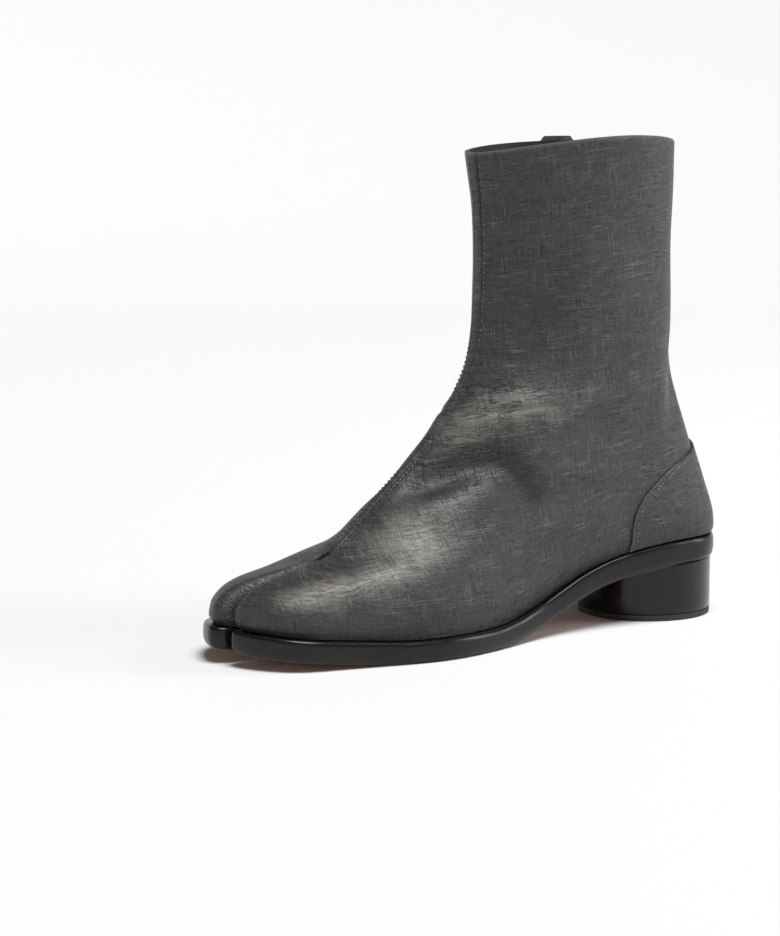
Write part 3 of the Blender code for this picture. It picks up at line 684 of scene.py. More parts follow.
@dataclass(frozen=True)
class BurnishedEdge:
    """Leather edge, inked black and burnished with wax: a satin skin with faint long streaks."""

    name: str
    colour: str = "#101010"
    streak: str = "#191818"
    roughness: float = 0.27
    coat: float = 0.0
    streak_mm: tuple[float, float] = (25.0, 1.4)
    cloud_mm: float = 11.111
    bump_m: float = 0.0003

    def build(self) -> bpy.types.Material:
        """Make the material; the streaks run level round the edge, so they stretch along X and Y.

        Returns:
            The material.
        """
        n = Nodes(self.name)
        place = n.add("TexCoord", out="Object")
        long_mm, wide_mm = self.streak_mm
        laid = n.add("Mapping", {"Vector": place,
                                 "Scale": (1000 / long_mm, 1000 / long_mm, 1000 / wide_mm)})
        lines = n.add("TexNoise", {"Vector": laid, "Scale": 1.0, "Detail": 3.0}, "Fac")
        slow = n.add("TexNoise", {"Vector": place, "Scale": 1000 / self.cloud_mm, "Detail": 3.0}, "Fac")
        share = n.add("MapRange", {"Value": lines, "From Min": 0.45, "From Max": 0.75}, "Result",
                      interpolation_type="SMOOTHSTEP")
        colour = n.add("Mix", {0: share, 6: srgb(self.colour), 7: srgb(self.streak)}, 2, data_type="RGBA")
        bump = n.add("Bump", {"Strength": 0.12, "Distance": self.bump_m, "Height": lines})
        slow_off = n.add("Math", {0: slow, 1: 0.5}, operation="SUBTRACT")
        rough = n.add("Math", {0: slow_off, 1: 0.22, 2: self.roughness}, operation="MULTIPLY_ADD")
        return n.finish({"Base Color": colour, "Roughness": rough, "Normal": bump,
                         "Specular IOR Level": 0.32, "Coat Weight": self.coat, "Coat Roughness": 0.12})


@dataclass(frozen=True)
class Thread:
    """Waxed polyester sewing thread: twisted strands show as a fine slant along each stitch."""

    name: str = "waxed_thread"
    colour: str = "#7b7972"
    strand: str = "#45423d"
    twist_mm: float = 0.35
    roughness: float = 0.5

    def build(self) -> bpy.types.Material:
        """Make the material with slanting bands on object coordinates and return it."""
        n = Nodes(self.name)
        place = n.add("TexCoord", out="Object")
        bands = n.add("TexWave", {"Vector": place, "Scale": 1000 / (WAVES_PER_UNIT * self.twist_mm),
                                  "Distortion": 2.0}, "Fac", bands_direction="DIAGONAL")
        colour = n.add("Mix", {0: bands, 6: srgb(self.strand), 7: srgb(self.colour)}, 2, data_type="RGBA")
        return n.finish({"Base Color": colour, "Roughness": self.roughness})


@dataclass(frozen=True)
class Rubber:
    """Moulded rubber of the heel's top lift: matt black with a fine pebble."""

    name: str = "moulded_rubber"
    colour: str = "#242322"
    grit: str = "#302f2d"
    grit_mm: float = 0.7
    roughness: float = 0.7
    bump_m: float = 0.0002

    def build(self) -> bpy.types.Material:
        """Make the material with a fine bump and return it."""
        n = Nodes(self.name)
        place = n.add("TexCoord", out="Object")
        grit = n.add("TexNoise", {"Vector": place, "Scale": 1000 / self.grit_mm, "Detail": 2.0}, "Fac")
        colour = n.add("Mix", {0: grit, 6: srgb(self.colour), 7: srgb(self.grit)}, 2, data_type="RGBA")
        bump = n.add("Bump", {"Strength": 0.3, "Distance": self.bump_m, "Height": grit})
        return n.finish({"Base Color": colour, "Roughness": self.roughness, "Normal": bump})


@dataclass(frozen=True)
class PaleFloor:
    """Painted studio floor: matt, an even pale grey that the lamps lift to white."""

    name: str = "pale_floor"
    colour: str = "#d9d9da"
    roughness: float = 0.8

    def build(self) -> bpy.types.Material:
        """Make the plain material and return it."""
        return Nodes(self.name).finish({"Base Color": srgb(self.colour), "Roughness": self.roughness,
                                        "Specular IOR Level": 0.1})


def make_piece(
    name: str,
    points: Array,
    faces: Sequence[Sequence[int]],
    materials: Sequence[bpy.types.Material],
    uv: Array | None = None,
    attributes: dict[str, Array] | None = None,
    slots: Array | None = None,
    sharp_degrees: float = 45.0,
) -> bpy.types.Object:
    """Make a mesh object from points in millimetres.

    Args:
        name: the piece's name.
        points: rows of x, y, z in millimetres.
        faces: vertex numbers of each face, wound outwards.
        materials: the mesh's materials in order.
        uv: map position of each face corner in millimetres, or None.
        attributes: float values by name, one a vertex.
        slots: material number of each face, or None for the first.
        sharp_degrees: edges sharper than this stay crisp.

    Returns:
        The object, at the origin, in the scene.
    """
    mesh = bpy.data.meshes.new(name)
    mesh.from_pydata((np.asarray(points) * MM).tolist(), [], faces)
    for material in materials:
        mesh.materials.append(material)
    for key, values in (attributes or {}).items():
        mesh.attributes.new(key, "FLOAT", "POINT").data.foreach_set("value", values.astype(np.float32))
    if uv is not None:
        mesh.uv_layers.new(name="hide").data.foreach_set("uv", uv.astype(np.float32).ravel())
    if slots is not None:
        mesh.polygons.foreach_set("material_index", slots.astype(np.int32))
    mesh.shade_smooth()
    mesh.set_sharp_from_angle(angle=math.radians(sharp_degrees))
    mesh.validate()
    piece = bpy.data.objects.new(name, mesh)
    bpy.context.collection.objects.link(piece)
    LOG.info("%s: %d points, %d faces", name, len(points), len(faces))
    return piece


@dataclass
class Upper:
    """The leather shell: one hide outside, its lining inside, open at the collar and underneath."""

    last: Last
    folds: Folds
    wall: float = 2.2
    side_steps: int = 132
    edge_steps: int = 8
    split_rows: int = 81
    shaft_rows: int = 123
    drop_steps: int = 10
    seam_height: float = 0.9
    seam_half: float = 2.4
    groove_depth: float = 0.45
    groove_out: float = 0.5
    groove_half: float = 0.55
    groove_angle: float = 2.0
    groove_rings: float = 0.6
    least_radius: float = 0.5
    inner_hole_gap: float = 0.12
    # Patches of real wear and painted highlight: the ankle ridge, the vamp, the toe and the lit fold at the
    # back
    worn_and_highlit: Sequence[Patch] = (
        Patch(11.2, 2.66, 20, 9, 0.7, 0.3), Patch(11.45, 2.2, 26, 10, 0.85, 0.25),
        Patch(11.5, 1.7, 18, 6, 0.35), Patch(10.6, 2.55, 14, 6, 0.5, 0.2),
        Patch(8.4, 2.52, 20, 12, 0.45), Patch(8.5, 2.25, 14, 7, 0.3), Patch(8.0, 2.6, 24, 14, 0.3),
        Patch(3.3, 2.62, 18, 9, 0.65), Patch(4.0, 2.4, 22, 8, 0.75), Patch(4.9, 2.25, 16, 7, 0.5),
        Patch(7.0, 2.35, 28, 12, 0.4), Patch(10.4, 0.75, 7, 24, 0.35), Patch(5.6, 2.7, 20, 10, 0.3),
    )
    # Where the fine creases are drawn: a groove bump, darkened as painted shade
    creased: Sequence[Patch] = (
        Patch(12.1, 2.5, 26, 7, 0.8), Patch(11.5, 2.4, 30, 8, 1.0), Patch(11.4, 1.9, 18, 5, 0.8),
        Patch(10.6, 2.4, 22, 8, 0.8), Patch(10.1, 2.7, 12, 5, 1.0), Patch(4.2, 2.42, 14, 4, 0.3),
        Patch(3.4, 2.3, 24, 3.5, 0.6), Patch(8.2, 2.2, 18, 6, 0.3), Patch(13.9, 1.75, 10, 9, 0.55),
    )

    # Painted shade in the hollows of the folds, with less wear there
    hollow_from: float = 0.2
    hollow_full: float = 2.6
    hollow_clean: float = 0.8
    seam_wear: float = 0.2
    # Painted shade: darker near the sole, and on the cleft's walls
    shade_mm: float = 20.0
    shade_most: float = 0.7
    cleft_shade: float = 0.8
    pore_angle: float = 2.75
    pore_fade: float = 0.3
    pore_rings: tuple[float, float] = (11.0, 2.0)
    pore_most: float = 0.55
    rim_rings: float = 0.07
    rim_most: float = 0.7

    def patches(self, points: Array, areas: Sequence[Patch], side: Side) -> Array:
        """Sum of soft ellipses exp(-(u/a)^2 - (v/b)^2), u level and v up the surface, capped at 1.

        Args:
            points: places to read.
            areas: the ellipses.
            side: outer or inner side.

        Returns:
            Strengths from 0 to 1.
        """
        total = np.zeros(points.shape[:-1])
        for area in areas:
            centre = self.last.surface(area.ring, area.angle, side)
            along = unit(self.last.surface(area.ring, area.angle - 0.02, side) - centre)
            out = self.last.normal(area.ring, area.angle, side)
            up = unit(np.cross(out, along)) * side.value * -1
            turned = along * math.cos(area.tilt) + up * math.sin(area.tilt)
            rest = points - centre
            u = rest @ turned
            v = np.sqrt(np.maximum((rest ** 2).sum(-1) - u ** 2, 0))
            total += area.strength * np.exp(-(u / area.along) ** 2 - (v / area.up) ** 2)
        return np.clip(total, 0, 1)

    def cleft(self, ring: Array, column: int) -> Array:
        """A column of the cleft's table at a ring."""
        return monotone(ring, self.last.t.cleft[:, 0], self.last.t.cleft[:, column])

    def side_grid(self, rings: Array, side: Side, depth: float, steps: int, edge: int, drops: int,
                  split: int) -> tuple[Array, Array, Array]:
        """Grid of one side, back to cleft, with its rounded edge and the wall down to the sole.

        Args:
            rings: ring numbers of the rows.
            side: outer or inner side.
            depth: depth of this skin under the leather's face.
            steps: columns from the back to the cleft's edge.
            edge: columns over the rounded edge.
            drops: rows of the cleft's wall.
            split: number of rows that the cleft parts.

        Returns:
            Points of the side, points of the wall, and the angles of the side's columns.
        """
        last = self.last
        half_gap = self.cleft(rings, 1) + depth
        radius = np.maximum(self.cleft(rings, 2 if side is Side.OUTER else 3) - depth, self.least_radius)
        if depth == 0:
            radius = np.where(rings > last.t.hole_ring, self.seam_half - half_gap, radius)
        front = last.front_gaps(rings, side, depth)
        edge_angle = last.angle_from(front, half_gap + radius)
        angles = edge_angle[:, None] * np.linspace(0, 1, steps + 1)[None, :]
        body = last.skin(rings[:, None] + 0 * angles, angles, side, depth)
        if depth == 0:
            middle = last.t.front_y * (1 - np.cos(angles)) / 2
            off = np.abs(body[..., 1] - middle)
            beside = np.exp(-((off - self.seam_half - self.groove_out) / self.groove_half) ** 2)
            beside = beside * (angles > self.groove_angle)
            start = smooth((rings - last.t.hole_ring) / self.groove_rings)[:, None]
            sunk_line = self.groove_depth * beside * start
            body = body - sunk_line[..., None] * last.normal(rings[:, None] + 0 * angles, angles, side)
        sunk = np.clip((last.t.hole_ring + last.t.hole_ramp - rings) / last.t.hole_ramp, 0, 1)
        forward = last.normal(rings, np.full(rings.shape, math.pi), side)
        down = -unit(np.stack([forward[:, 0], 0 * forward[:, 0], np.maximum(forward[:, 2], 0)], axis=-1))
        edges, edge_angles = [], []
        for turned in np.linspace(0, math.pi / 2, edge + 1)[1:]:
            distance = half_gap + radius * (1 - math.sin(turned))
            along = last.angle_from(front, distance)
            point = last.skin(rings, along, side, depth)
            lift = 0.0
            if depth == 0:
                crown = np.clip(1 - (distance / self.seam_half) ** 2, 0, 1) ** 0.5
                lift = self.seam_height * crown * (1 - sunk)
            point = point + down * (radius * (1 - math.cos(turned)) * sunk - lift)[:, None]
            point[0, 2] = last.sole_top(point[0, 0]) + last.t.seat_gap
            edges.append(point)
            edge_angles.append(along)
        grid = np.concatenate([body, np.stack(edges, axis=1)], axis=1)
        all_angles = np.concatenate([angles, np.stack(edge_angles, axis=1)], axis=1)
        top = grid[:split, -1]
        floor = last.sole_top(top[:, 0]) + last.t.seat_gap
        share = np.linspace(0, 1, drops + 1)[1:]
        wall = np.repeat(top[:, None], drops, axis=1)
        wall[..., 2] = top[:, None, 2] * (1 - share) + floor[:, None] * share
        return grid, wall, all_angles

    def skin(self, depth: float, coarse: int) -> dict[str, Array]:
        """One whole skin of the shell.

        Args:
            depth: depth under the leather's face.
            coarse: how many steps of the fine grid one step spans.

        Returns:
            Its points, its index grids, and the ring and angle of each point, by name.
        """
        last = self.last
        hole = last.t.hole_ring + (self.inner_hole_gap if depth > 0 else 0.0)
        split = (self.split_rows - 1) // coarse + 1
        shaft = (self.shaft_rows - 1) // coarse + 1
        before, after = last.t.hole_ring - 0.4 * last.t.hole_ramp, last.t.hole_ring + 2 * last.t.hole_ramp
        low = np.append(np.linspace(0, before, split - 1), hole)
        high = np.append(hole + last.t.hole_ramp, np.linspace(after, last.t.top_ring, shaft - 1))
        rings = np.concatenate([low, high])
        steps, edge = self.side_steps // coarse, self.edge_steps // coarse
        drops = self.drop_steps // coarse
        sides = [self.side_grid(rings, side, depth, steps, edge, drops, split) for side in Side]
        shell = np.concatenate([sides[0][0][:, ::-1], sides[1][0][:, 1:]], axis=1)
        angle = np.concatenate([sides[0][2][:, ::-1], sides[1][2][:, 1:]], axis=1)
        rows, columns = shell.shape[:2]
        points = np.concatenate([shell.reshape(-1, 3), sides[0][1].reshape(-1, 3),
                                 sides[1][1].reshape(-1, 3)])
        index = np.arange(rows * columns).reshape(rows, columns)
        wall = rows * columns + np.arange(split * drops).reshape(split, drops)
        return {
            "points": points, "shell": shell, "angle": angle, "rings": rings, "index": index,
            "outer_wall": np.concatenate([index[:split, :1], wall], axis=1),
            "inner_wall": np.concatenate([index[:split, -1:], wall + split * drops], axis=1),
        }

    def faces(self, skin: dict[str, Array]) -> Array:
        """Faces of one skin.

        Args:
            skin: the skin.

        Returns:
            Quads of the shell, the bridge over the front, the cleft's walls and its end, in that order.
        """
        index, outer, inner = skin["index"], skin["outer_wall"], skin["inner_wall"]
        hole = outer.shape[0] - 1
        bridge = np.stack([index[hole:, -1], index[hole:, 0]], axis=1)
        end = np.stack([inner[hole], outer[hole]], axis=0)
        return np.concatenate([grid_faces(index), grid_faces(bridge), grid_faces(outer[:, ::-1]),
                               grid_faces(inner), grid_faces(end)])

    def loops(self, skin: dict[str, Array]) -> tuple[Array, Array]:
        """Vertex numbers of the collar's rim and of the edge along the sole.

        Args:
            skin: the skin.

        Returns:
            Both rows of numbers.
        """
        index = skin["index"]
        foot = np.concatenate([skin["outer_wall"][::-1, -1], index[0, 1:-1], skin["inner_wall"][:, -1]])
        return index[-1], foot

    def place(self, skin: dict[str, Array]) -> Array:
        """Map of the skin in millimetres, as if the hide were laid flat.

        A ring's middle keeps its place as seen from the side, and the ring runs out straight along
        its chord from there, by arc length. The inner side carries on behind the back.

        Args:
            skin: the skin.

        Returns:
            Two map coordinates for each point.
        """
        shell = skin["shell"]
        middle = shell.shape[1] // 2
        laid = []
        for half in (shell[:, middle::-1], shell[:, middle:]):
            step = np.linalg.norm(np.diff(half, axis=1), axis=-1)
            run = np.concatenate([np.zeros((len(half), 1)), np.cumsum(step, axis=1)], axis=1)
            centre = half.shape[1] // 2
            chord = unit((half[:, -1] - half[:, 0])[:, [0, 2]])
            reach = run - run[:, centre:centre + 1]
            laid.append(half[:, centre:centre + 1][..., [0, 2]] + reach[..., None] * chord[:, None, :])
        beyond = laid[0][:, :1] + (laid[1] - laid[1][:, :1]) * np.array([-1.0, 1.0])
        flat = np.concatenate([laid[0][:, ::-1], beyond[:, 1:]], axis=1).reshape(-1, 2)
        spare = np.zeros((len(skin["points"]) - len(flat), 2))
        for wall, reach in ((skin["outer_wall"], -1.0), (skin["inner_wall"], 1.0)):
            start = flat[wall[:, 0]]
            drop = np.linalg.norm(np.diff(skin["points"][wall], axis=1), axis=-1).cumsum(axis=1)
            rows = start[:, None, :] + np.stack([reach * drop, 0 * drop], axis=-1)
            spare[wall[:, 1:] - len(flat)] = rows
        return np.concatenate([flat, spare])

    def build(self, leather: bpy.types.Material, lining: bpy.types.Material) -> None:
        """Make the shell: a fine outside, a half as fine inside, and the cut edges between.

        Args:
            leather: material of the outside and the edges.
            lining: material of the inside.
        """
        outside, inside = self.skin(0.0, 1), self.skin(self.wall, 2)
        count = len(outside["points"])
        outer_faces = self.faces(outside)
        inner_faces = self.faces(inside)[:, ::-1] + count
        rims: list[list[int]] = []
        for fine, rough in zip(self.loops(outside), self.loops(inside)):
            rough = rough + count
            pairs = min(len(rough), (len(fine) + 1) // 2)
            for k in range(pairs - 1):
                f = [int(fine[min(2 * k + s, len(fine) - 1)]) for s in range(3)]
                rims.append([f[0], f[1], f[2], int(rough[k + 1]), int(rough[k])][::-1])
            rims.append([int(fine[-1]), int(fine[0]), int(rough[0]), int(rough[-1])][::-1])
        points = np.concatenate([outside["points"], inside["points"]])
        faces = outer_faces.tolist() + inner_faces.tolist() + rims
        slots = np.zeros(len(faces), dtype=np.int32)
        slots[len(outer_faces):len(outer_faces) + len(inner_faces)] = 1
        uv = np.concatenate([self.place(outside), self.place(inside)])
        corners = np.array([corner for face in faces for corner in face])
        rows, columns = outside["index"].shape
        first = 4 * (rows - 1) * (columns - 1)
        bridge = slice(first, first + 4 * (rows - self.split_rows))
        last_column = corners[bridge] % columns == columns - 1
        # The bridge over the seam reads the outer side's map, because the map is torn there
        corners[bridge] -= np.where(last_column, columns - 1, 0)
        attributes = self.dressing(outside, len(points))
        piece = make_piece("upper_shell", points, faces, [leather, lining], uv[corners], attributes,
                           slots)
        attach(piece, "root")
        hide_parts("upper")

    def dressing(self, skin: dict[str, Array], total: int) -> dict[str, Array]:
        """Strength at each point of wear with painted highlight, painted shade near the sole, crease, pore,
        rim, and painted shade in the hollows.
            total: number of points of the whole piece; those past the skin get 0.

        Returns:
            A row of strengths by attribute name.
        """
        shell, angle = skin["shell"], skin["angle"]
        ring = skin["rings"][:, None] + 0 * angle
        middle = shell.shape[1] // 2
        wear_and_highlight, crease, height = (np.zeros(ring.shape) for _ in range(3))
        for side, columns in ((Side.OUTER, slice(0, middle + 1)), (Side.INNER, slice(middle, None))):
            share = 1.0 if side is Side.OUTER else self.folds.inner_share
            wear_and_highlight[:, columns] = self.patches(shell[:, columns], self.worn_and_highlit, side) * share
            height[:, columns] = self.folds.relief(ring[:, columns], angle[:, columns], side)
            crease[:, columns] = self.patches(shell[:, columns], self.creased, side) * share
        over_sole = shell[..., 2] - self.last.sole_top(shell[..., 0])
        # Painted shade where the folds sink, and less wear there
        hollow = smooth((-height - self.hollow_from) / self.hollow_full)
        wear_and_highlight = wear_and_highlight * (1 - self.hollow_clean * hollow)
        front = smooth((angle - self.pore_angle) / self.pore_fade)
        low, fade = self.pore_rings
        seam = np.zeros(ring.shape, dtype=bool)
        seam[:, :self.edge_steps] = True
        seam[:, -self.edge_steps:] = True
        on_seam = seam & (ring > self.last.t.hole_ring)
        values = {
            # Wear here is real wear and painted highlight; the seam's strip is real wear
            "wear_and_highlight": np.where(on_seam, np.maximum(wear_and_highlight, self.seam_wear), wear_and_highlight),
            # Painted shade, darker towards the sole
            "shade": (1 - smooth(over_sole / self.shade_mm)) * self.shade_most,
            "crease": crease,
            "pores": self.pore_most * front * (1 - smooth((ring - low) / fade)),
            "rim": smooth((ring - self.last.t.top_ring + self.rim_rings) / self.rim_rings) * self.rim_most,
            # Painted shade in the hollows of the folds
            "hollow": hollow,
        }
        full = {name: np.pad(strength.ravel(), (0, total - strength.size))
                for name, strength in values.items()}
        # Painted shade on the cleft's walls
        for wall in (skin["outer_wall"], skin["inner_wall"]):
            full["shade"][wall[:, 1:]] = self.cleft_shade
        return full


@dataclass
class Overlay:
    """A leather patch laid on the upper: two faces and a cut edge, rounded over two rows."""

    last: Last
    name: str
    node: str
    slot: str
    gap: float
    thick: float
    edge_sink: float = 0.55
    next_sink: float = 0.12
    # Painted shade near the sole
    shade_mm: float = 20.0
    shade_most: float = 0.6
    rim_most: float = 0.25

    def build(self, rings: Array, angles: Array, sides: Array, leather: bpy.types.Material,
              rise: Array | None = None) -> None:
        """Make the patch from grids of ring, angle and side.

        Its faces are base + gap n and base + (gap + thick) n. The upper one sinks by a share of
        the thickness in the last two rows at each border, so that the cut edge looks rounded.

        Args:
            rings: ring numbers.
            angles: angles from the back.
            sides: 1 on the outer side and -1 on the inner side.
            leather: material.
            rise: height to add to each point, or None.
        """
        base, normal = np.empty((*rings.shape, 3)), np.empty((*rings.shape, 3))
        for side in Side:
            here = sides == side.value
            base[here] = self.last.skin(rings[here], angles[here], side, 0.0)
            normal[here] = self.last.normal(rings[here], angles[here], side)
        rows, columns = rings.shape
        border = np.minimum.outer(np.minimum(np.arange(rows), np.arange(rows)[::-1]),
                                  np.minimum(np.arange(columns), np.arange(columns)[::-1]))
        sink = np.select([border == 0, border == 1], [self.edge_sink, self.next_sink], 0.0) * self.thick
        below = base + self.gap * normal
        above = base + (self.gap + self.thick - sink)[..., None] * normal
        if rise is not None:
            below[..., 2] += rise
            above[..., 2] += rise
        index = np.arange(rings.size).reshape(rings.shape)
        edge = np.concatenate([index[0, :-1], index[:-1, -1], index[-1, :0:-1], index[:0:-1, 0]])
        edge = np.append(edge, edge[0])
        cut = grid_faces(np.stack([edge, edge + rings.size], axis=0))
        faces = np.concatenate([grid_faces(index)[:, ::-1], grid_faces(index + rings.size), cut])
        points = np.concatenate([below.reshape(-1, 3), above.reshape(-1, 3)])
        flat = np.tile(laid_flat(base).reshape(-1, 2), (2, 1))[faces.ravel()]
        # Painted shade, darker towards the sole
        over_sole = base[..., 2] - self.last.sole_top(base[..., 0])
        shade = (1 - smooth(over_sole / self.shade_mm)) * self.shade_most
        attributes = {name: np.zeros(len(points)) for name in ("wear_and_highlight", "crease", "pores", "hollow")}
        attributes["rim"] = np.tile(np.where(border == 0, self.rim_most, 0.0).ravel(), 2)
        attributes["shade"] = np.tile(shade.ravel(), 2)
        piece = make_piece(self.name, points, faces.tolist(), [leather], flat, attributes)
        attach(piece, "root")
        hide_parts(self.node)


@dataclass
class Stitching:
    """All sewing of the boot, gathered into one piece.

    Each stitch is an ellipsoid of a few points, bowed over the leather and sunk a little into it.
    """

    thread: bpy.types.Material
    sink: float = 0.12
    bow: float = 0.35
    turns: int = 6
    bands: int = 5
    end: float = 0.92
    look: float = 0.3
    points: list[Array] = field(default_factory=list)
    faces: list[Array] = field(default_factory=list)

    def add(self, name: str, line: Array, normals: Array, pitch: float = 2.3, length: float = 1.7,
            radius: float = 0.26) -> None:
        """Add one row of stitches along a line.

        Args:
            name: the row's name, for the log.
            line: points of the seam in millimetres.
            normals: outward normals at those points.
            pitch: distance from one stitch to the next.
            length: length of a stitch.
            radius: half thickness of the thread.
        """
        gaps = np.linalg.norm(np.diff(line, axis=0), axis=1)
        run = np.concatenate([[0.0], np.cumsum(gaps)])
        at = np.arange(pitch / 2, run[-1], pitch)
        centre, ahead, behind, out = (
            np.stack([np.interp(at + move, run, rows[:, k]) for k in range(3)], axis=-1)
            for rows, move in ((line, 0.0), (line, self.look), (line, -self.look), (normals, 0.0))
        )
        along = unit(ahead - behind)
        across = unit(np.cross(out, along))
        out = np.cross(along, across)
        turn = np.linspace(0, 2 * math.pi, self.turns, endpoint=False)
        band = np.linspace(-self.end, self.end, self.bands)
        ring = np.sqrt(1 - band ** 2)
        bow = self.bow * radius * (1 - band ** 2)
        level = (band * length / 2)[:, None]
        wide = radius * ring[:, None] * np.cos(turn)
        tall = radius * ring[:, None] * np.sin(turn) + bow[:, None] - self.sink
        local = centre[:, None, None, :] + sum(
            size[None, :, :, None] * axis[:, None, None, :]
            for size, axis in ((level, along), (wide, across), (tall, out))
        )
        each = self.turns * self.bands
        index = np.arange(each).reshape(self.bands, self.turns)
        tube = grid_faces(np.concatenate([index, index[:, :1]], axis=1))
        caps = np.array([[0, 1, 2, 5], [2, 3, 4, 5]])
        caps = np.concatenate([caps, each - 1 - caps])
        one = np.concatenate([tube[:, ::-1], caps])
        faces = (one[None] + each * np.arange(len(at))[:, None, None]).reshape(-1, 4)
        start = sum(len(points) for points in self.points)
        self.points.append(local.reshape(-1, 3))
        self.faces.append(faces + start)
        LOG.info("%s: %d stitches", name, len(at))

    def build(self) -> None:
        """Make the piece that holds every row."""
        piece = make_piece("stitching", np.concatenate(self.points),
                           np.concatenate(self.faces).tolist(), [self.thread])
        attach(piece, "root")


@dataclass
class SoleOutline:
    """Plan of the sole: the feather line moved outwards, with the toe cleft cut in."""

    last: Last
    half_gap: float = 1.4
    cleft_end: float = 186.0
    corner_share: float = 0.6
    body_steps: int = 110
    lobe_steps: int = 44
    corner_steps: int = 12
    wall_steps: int = 30
    samples: int = 1200
    front_share: float = 0.6
    least_radius: float = 0.5

    def welt_out(self, share: Array, extra: float) -> Array:
        """Distance outside the feather line at a share of the boot's length, plus an extra."""
        return monotone(share, self.last.t.welt_out[:, 0], self.last.t.welt_out[:, 1]) + extra

    def half(self, side: Side, extra: float, half_gap: float, corner_share: float,
             welted: bool) -> Array:
        """One side of the outline, from the back round the lobe and back along the cleft's wall.

        The line is p + out(share) n, where n is the plan normal. The corner at the mouth is a
        quarter ellipse about the lobe's radius.

        Args:
            side: outer or inner side.
            extra: distance outside the welt's line, or outside the feather line.
            half_gap: half the cleft's width.
            corner_share: radius of the mouth's corner over the lobe's own.
            welted: whether the line starts from the welt's.

        Returns:
            Points x, y of the line.
        """
        samples = np.linspace(0, math.pi, self.samples)
        line = self.last.surface(np.zeros(samples.shape), samples, side)[:, :2]
        tangent = np.gradient(line, axis=0)
        normal = unit(np.stack([-tangent[:, 1], tangent[:, 0]], axis=-1) * side.value)
        share = (1 - np.cos(samples)) / 2
        out = self.welt_out(share, extra) if welted else extra + 0 * share
        line = line + normal * out[:, None]
        gap = (line[:, 1] - self.last.t.front_y * share) * side.value
        front = samples > math.pi * self.front_share
        column = 2 if side is Side.OUTER else 3
        radius = max(self.last.t.cleft[0, column] * corner_share + float(out[-1]) / 2, self.least_radius)
        start = np.interp(-(half_gap + radius), -gap[front], samples[front])
        before = np.interp(self.cleft_end, line[front, 0], samples[front])
        angles = np.concatenate([np.linspace(0, before, self.body_steps + 1),
                                 np.linspace(before, start, self.lobe_steps + 1)[1:]])
        body = np.stack([np.interp(angles, samples, line[:, k]) for k in (0, 1)], axis=-1)
        turned = np.linspace(0, math.pi / 2, self.corner_steps + 1)[1:]
        distance = half_gap + radius * (1 - np.sin(turned))
        at = np.interp(-distance, -gap[front], samples[front])
        x = np.interp(at, samples, line[:, 0]) - radius * (1 - np.cos(turned))
        corner = np.stack([x, self.last.t.front_y * (1 - np.cos(at)) / 2 + side.value * distance], axis=-1)
        wall_x = np.linspace(corner[-1, 0], self.cleft_end, self.wall_steps + 1)[1:]
        wall = np.stack([wall_x, self.last.t.front_y + side.value * half_gap + 0 * wall_x], axis=-1)
        return np.concatenate([body, corner, wall])

    def ladder(self, offset: int, both: int) -> list[list[int]]:
        """Faces that close a level loop: rungs across the body, and across each toe lobe.

        Args:
            offset: number of the loop's first vertex.
            both: number of vertices in the loop.

        Returns:
            Faces of three or four vertex numbers.
        """
        faces = [[0, 1, both - 1]]
        faces += [[k, k + 1, both - k - 1, both - k] for k in range(1, self.body_steps)]
        first = self.body_steps
        last = first + self.lobe_steps + self.corner_steps + self.wall_steps
        low, high = first, last
        # Rungs of a lobe go from its outer line to the cleft's wall until they meet
        while high - low > 2:
            faces.append([low, low + 1, high - 1, high])
            low, high = low + 1, high - 1
        faces.append([low, low + 1, high])
        faces += [[(both - v) % both for v in face][::-1] for face in faces[self.body_steps:]]
        faces.append([first, last, both - last, both - first])
        return [[v + offset for v in face] for face in faces]

    def solid(
        self,
        name: str,
        levels: Sequence[tuple[float, float, Callable[[Array], Array]]],
        material: bpy.types.Material,
        corner_share: float | None = None,
        welted: bool = True,
    ) -> bpy.types.Object:
        """Closed body from loops at several levels.

        Args:
            name: the piece's name.
            levels: rows of offset, half gap and height as a function of x, from top to bottom or
                from bottom to top.
            material: the piece's material.
            corner_share: radius of the mouth's corner over the lobe's own, or None for the usual.
            welted: whether the outline starts from the welt's.

        Returns:
            The piece.
        """
        share = self.corner_share if corner_share is None else corner_share
        rows = []
        for extra, half_gap, height in levels:
            outer, inner = (self.half(side, extra, half_gap, share, welted) for side in Side)
            loop = np.concatenate([outer, inner[:0:-1]])
            rows.append(np.column_stack([loop, height(loop[:, 0])]))
        count = len(rows[0])
        points = np.concatenate(rows)
        index = np.arange(len(points)).reshape(len(rows), count)
        closed = np.concatenate([index, index[:, :1]], axis=1)
        faces = grid_faces(closed).tolist()
        faces += [face[::-1] for face in self.ladder((len(rows) - 1) * count, count)]
        faces += self.ladder(0, count)
        return make_piece(name, points, faces, [material], sharp_degrees=50)


